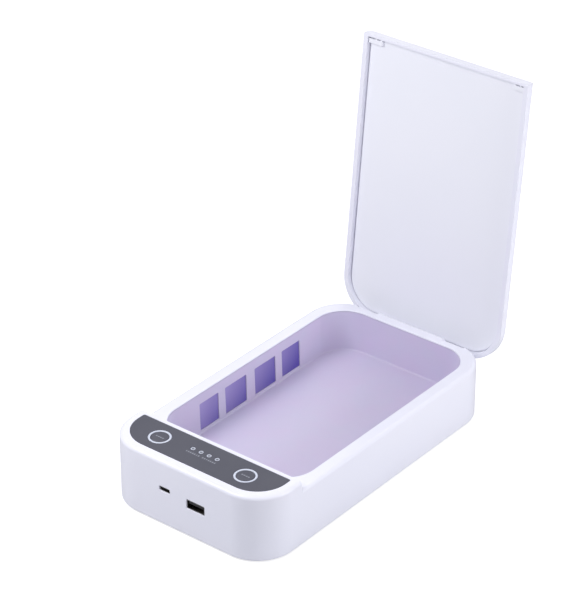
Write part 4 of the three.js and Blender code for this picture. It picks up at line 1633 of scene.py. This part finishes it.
@dataclass
class Electronics:
    """The ultraviolet tubes, the three boards and the larger parts that stand on them."""

    tube_end: float = 1.1
    electrode: float = 9.0
    plunger_r: float = 1.7
    chips: dict[str, tuple[Spot, ...]] = field(
        default_factory=lambda: {
            "power_board": ((-3.0, -116.0, 3.6, 5.0), (-3.2, -109.5, 2.4, 1.6)),
            "charge_board": ((-16.0, -116.0, 5.0, 4.0), (-20.8, -117.0, 1.6, 2.6)),
            "control_board": (
                (19.0, -111.0, 7.0, 7.0), (-19.0, -108.0, 5.0, 4.4),
                (-18.0, -114.5, 3.2, 1.6), (24.6, -106.0, 1.6, 3.2),
            ),
        }
    )

    def build(self) -> None:
        """Models and settles every piece."""
        for side in Side:
            self.lamp(side)
            self.tact_switch(side)
        for name, chips in self.chips.items():
            self.board(name, chips)
        self.transformer()
        self.capacitor()
        for side in Side:
            self.small_block(f"rim_magnet_{side.label}", 0.4, "magnet_nickel", MAGNET)
        self.small_block("lid_sensor", 0.3, "black_plastic", BLACK)

    @staticmethod
    def small_block(name: str, round_off: float, slot: str, finish: Finish) -> None:
        """A small plain part with its edges broken.

        Args:
            name: the frame's node.
            round_off: how far its edges are rounded, in millimetres.
            slot: the record's material slot.
            finish: what it is made of.
        """
        block = Bench.cube(f"{name}_block", *box_mm(name))
        Bench.bevel(block, folded, round_off, 3)
        settle(Bench.shade(block), Body.CASE, slot, finish, name)

    def lamp(self, side: Side) -> None:
        """One tube with domed ends, and an electrode inside each end."""
        name = f"uv_lamp_{side.label}"
        low, high = box_mm(name)
        mid, r = (low + high) / 2, (high.z - low.z) / 2
        tube = Bench.rod(f"quartz_tube_{side.label}", tuple(mid), r, high.y - low.y, "Y", 40)

        def at_end(edge: Edge) -> bool:
            """Whether an edge runs round one end of the tube."""
            return folded(edge) and min(abs(middle(edge).y - y * MM) for y in (low.y, high.y)) < 1e-6

        Bench.bevel(tube, at_end, self.tube_end, 6)
        settle(Bench.shade(tube), Body.CASE, "lamp_glass", LampGlass(), name)
        for end, inward in ((low.y, 1), (high.y, -1)):
            centre = (mid.x, end + inward * (0.8 + self.electrode / 2), mid.z)
            label = "front" if inward > 0 else "rear"
            rod = Bench.rod(f"electrode_{side.label}_{label}", centre, r * 0.45, self.electrode, "Y", 24)
            Bench.bevel(rod, lambda e: folded(e) and not along(e, 1), 0.2, 2)
            settle(Bench.shade(rod), Body.CASE, "plated_steel", STEEL)

    def tact_switch(self, side: Side) -> None:
        """One switch: a square base with a chamfered lid and its round plunger."""
        name = f"tact_switch_{side.label}"
        low, high = box_mm(name)
        mid = (low + high) / 2
        base_top = low.z + 2.3
        base = Bench.cube(f"switch_{side.label}", low, (high.x, high.y, base_top))
        Bench.bevel(base, upright, 0.5, 2)
        Bench.bevel(base, lambda e: level(e, base_top * MM), 0.25, 2)
        centre = (mid.x, mid.y, (base_top + high.z) / 2 - 0.25)
        plunger = Bench.rod("plunger", centre, self.plunger_r, high.z - base_top + 0.5, "Z", 32)
        Bench.bevel(plunger, lambda e: level(e, high.z * MM), 0.2, 2)
        Bench.weld(base, plunger)
        settle(Bench.shade(base), Body.CASE, "black_plastic", BLACK, name)

    @staticmethod
    def board(name: str, chips: Sequence[Spot]) -> None:
        """One board with rounded corners and moulded chips on it.

        Args:
            name: the frame's node.
            chips: middle x and y, width and depth of each chip.
        """
        low, high = box_mm(name)
        edges = {"top_r": 0.12, "bottom_r": 0.12, "edge_steps": 1}
        board = Bench.block(f"{name}_laminate", low, high, (1.0, 1.0), plan_steps=5, **edges)
        settle(Bench.shade(board), Body.CASE, "circuit_board", BOARD, name)
        bodies = [Bench.slab(f"{name}_chips", spot, high.z + 0.02, high.z + 0.9) for spot in chips]
        for chip in bodies:
            Bench.bevel(chip, lambda e: folded(e) and middle(e).z > (high.z + 0.1) * MM, 0.12, 2)
        joined = Bench.joined(f"{name}_chips", bodies)
        settle(Bench.shade(joined), Body.CASE, "black_plastic", BLACK)

    @staticmethod
    def transformer() -> None:
        """The lamp transformer: a wound bobbin between two ferrite halves, joined in one casting."""
        low, high = box_mm("lamp_transformer")
        base = Bench.cube("transformer_core", low, (high.x, high.y, low.z + 2.0))
        Bench.bevel(base, upright, 0.6, 3)
        mid = (low + high) / 2
        near, far = (low.x + 1.2, mid.y - 4.5, low.z + 1.5), (high.x - 1.2, mid.y + 4.5, high.z)
        core = Bench.cube("core", near, far)
        Bench.bevel(core, folded, 0.5, 3)
        near, far = (low.x + 3.2, low.y + 0.8, low.z + 1.6), (high.x - 3.2, high.y - 0.8, high.z - 1.2)
        winding = Bench.cube("winding", near, far)
        Bench.bevel(winding, folded, 1.8, 6)
        Bench.weld(base, core, winding)
        settle(Bench.shade(base), Body.CASE, "ferrite", FERRITE, "lamp_transformer")

    @staticmethod
    def capacitor() -> None:
        """The filter capacitor: a can with a rolled groove and a crimped top."""
        low, high = box_mm("filter_capacitor")
        x, y, r = disc_mm("filter_capacitor")
        z, top = low.z, high.z
        profile = [
            (r - 0.3, z), (r, z + 0.3), (r, z + 1.0), (r - 0.3, z + 1.35), (r, z + 1.7), (r, top - 0.45),
            (r - 0.15, top - 0.12), (r - 0.45, top), (r - 0.8, top - 0.12), (0.4, top - 0.16),
        ]
        can = Bench.turned("capacitor_can", x, y, profile, 48)
        settle(Bench.shade(can), Body.CASE, "black_plastic", BLACK, "filter_capacitor")


# ---- what stays from the frame


class Workings:
    """Nodes of the frame that keep their shape: each gets its finish."""

    LOOKS: dict[str, Finish] = {
        "lamp_reflector": FOIL,
        "lamp_holder": SILICONE,
        "lamp_lead": SILICONE,
        "board_link": SILICONE,
        "led_chip": SILICONE,
        "lid_magnet": MAGNET,
    }

    @classmethod
    def dress(cls) -> None:
        """Gives every node that is still shown its finish."""
        for name, obj in frame["nodes"].items():
            if obj.hide_render:
                continue
            finish = next(f for prefix, f in cls.LOOKS.items() if name.startswith(prefix))
            dress(obj, finish)
            log.info("%s keeps its shape, in %s", name, finish.name)


# ---- studio


@dataclass
class Studio:
    """A plain white floor, soft light and the camera."""

    azimuth: float = 38.68
    elevation: float = 30.02
    distance: float = 1582.8
    focal: float = 161.7
    aim: Point = (-8.886, -16.18, 108.38)
    light_aim: Point = (0, 20, 60)
    floor_glow: float = 0.72
    sky: Colour = (0.96, 0.97, 1.06)
    sky_strength: float = 0.5

    def build(self) -> None:
        """Sets up the camera, the floor and the lights."""
        self.camera()
        self.floor()
        self.world()
        self.light("key", (-170, -350, 500), 320, 2.35)
        self.light("right", (720, 160, 230), 420, 3.05)
        self.light("rear", (-300, 760, 520), 600, 1.4)
        view = bpy.context.scene.view_settings
        view.view_transform = "Standard"
        view.look = "None"

    def camera(self) -> None:
        """The camera, which looks at the aim point from its azimuth and elevation."""
        az, el = math.radians(self.azimuth), math.radians(self.elevation)
        back = Vector((math.sin(az) * math.cos(el), -math.cos(az) * math.cos(el), math.sin(el)))
        data = bpy.data.cameras.new("camera")
        data.lens = self.focal
        data.sensor_width = 36
        data.clip_end = 20
        obj = bpy.data.objects.new("camera", data)
        obj.location = (Vector(self.aim) + back * self.distance) * MM
        obj.rotation_euler = (-back).to_track_quat("-Z", "Y").to_euler()
        bpy.context.scene.collection.objects.link(obj)
        bpy.context.scene.camera = obj

    def floor(self) -> None:
        """A wide floor under the feet."""
        bpy.ops.object.select_all(action="DESELECT")
        bpy.ops.mesh.primitive_plane_add(size=12, location=(0, 0, -0.0002))
        obj = bpy.context.active_object
        obj.name = "studio_floor"
        shader = Shader("floor_paper")
        shader.set(Base_Color=(0.55, 0.55, 0.56, 1), Roughness=0.95, Emission_Color=(1, 1, 1, 1))
        seen = shader.node("ShaderNodeLightPath").outputs["Is Camera Ray"]
        shader.feed(shader.math("MULTIPLY", seen, self.floor_glow), "Emission Strength")
        obj.data.materials.append(shader.material)

    def world(self) -> None:
        """Even white surroundings."""
        world = bpy.data.worlds.new("surroundings")
        bpy.context.scene.world = world
        world.use_nodes = True
        back = world.node_tree.nodes["Background"]
        back.inputs["Color"].default_value = (*self.sky, 1)
        back.inputs["Strength"].default_value = self.sky_strength

    def light(self, name: str, place: Point, size: float, watts: float) -> None:
        """One square soft light aimed at the middle of the box.

        Args:
            name: the light's name.
            place: where it hangs, in millimetres.
            size: its side in millimetres.
            watts: its power.
        """
        data = bpy.data.lights.new(name, "AREA")
        data.size = size * MM
        data.energy = watts
        obj = bpy.data.objects.new(name, data)
        obj.location = Vector(place) * MM
        obj.rotation_euler = (Vector(self.light_aim) * MM - obj.location).to_track_quat("-Z", "Y").to_euler()
        bpy.context.scene.collection.objects.link(obj)


def main() -> None:
    logging.basicConfig(level=logging.INFO, format="%(name)s: %(message)s")
    layout = Layout()
    Studio().build()
    Casing(layout).build()
    Tray(layout).build()
    Lid(layout).build()
    ControlDeck().build()
    Sockets().build()
    Underside(layout).build()
    Electronics().build()
    Workings.dress()


if __name__ == "__main__":
    main()
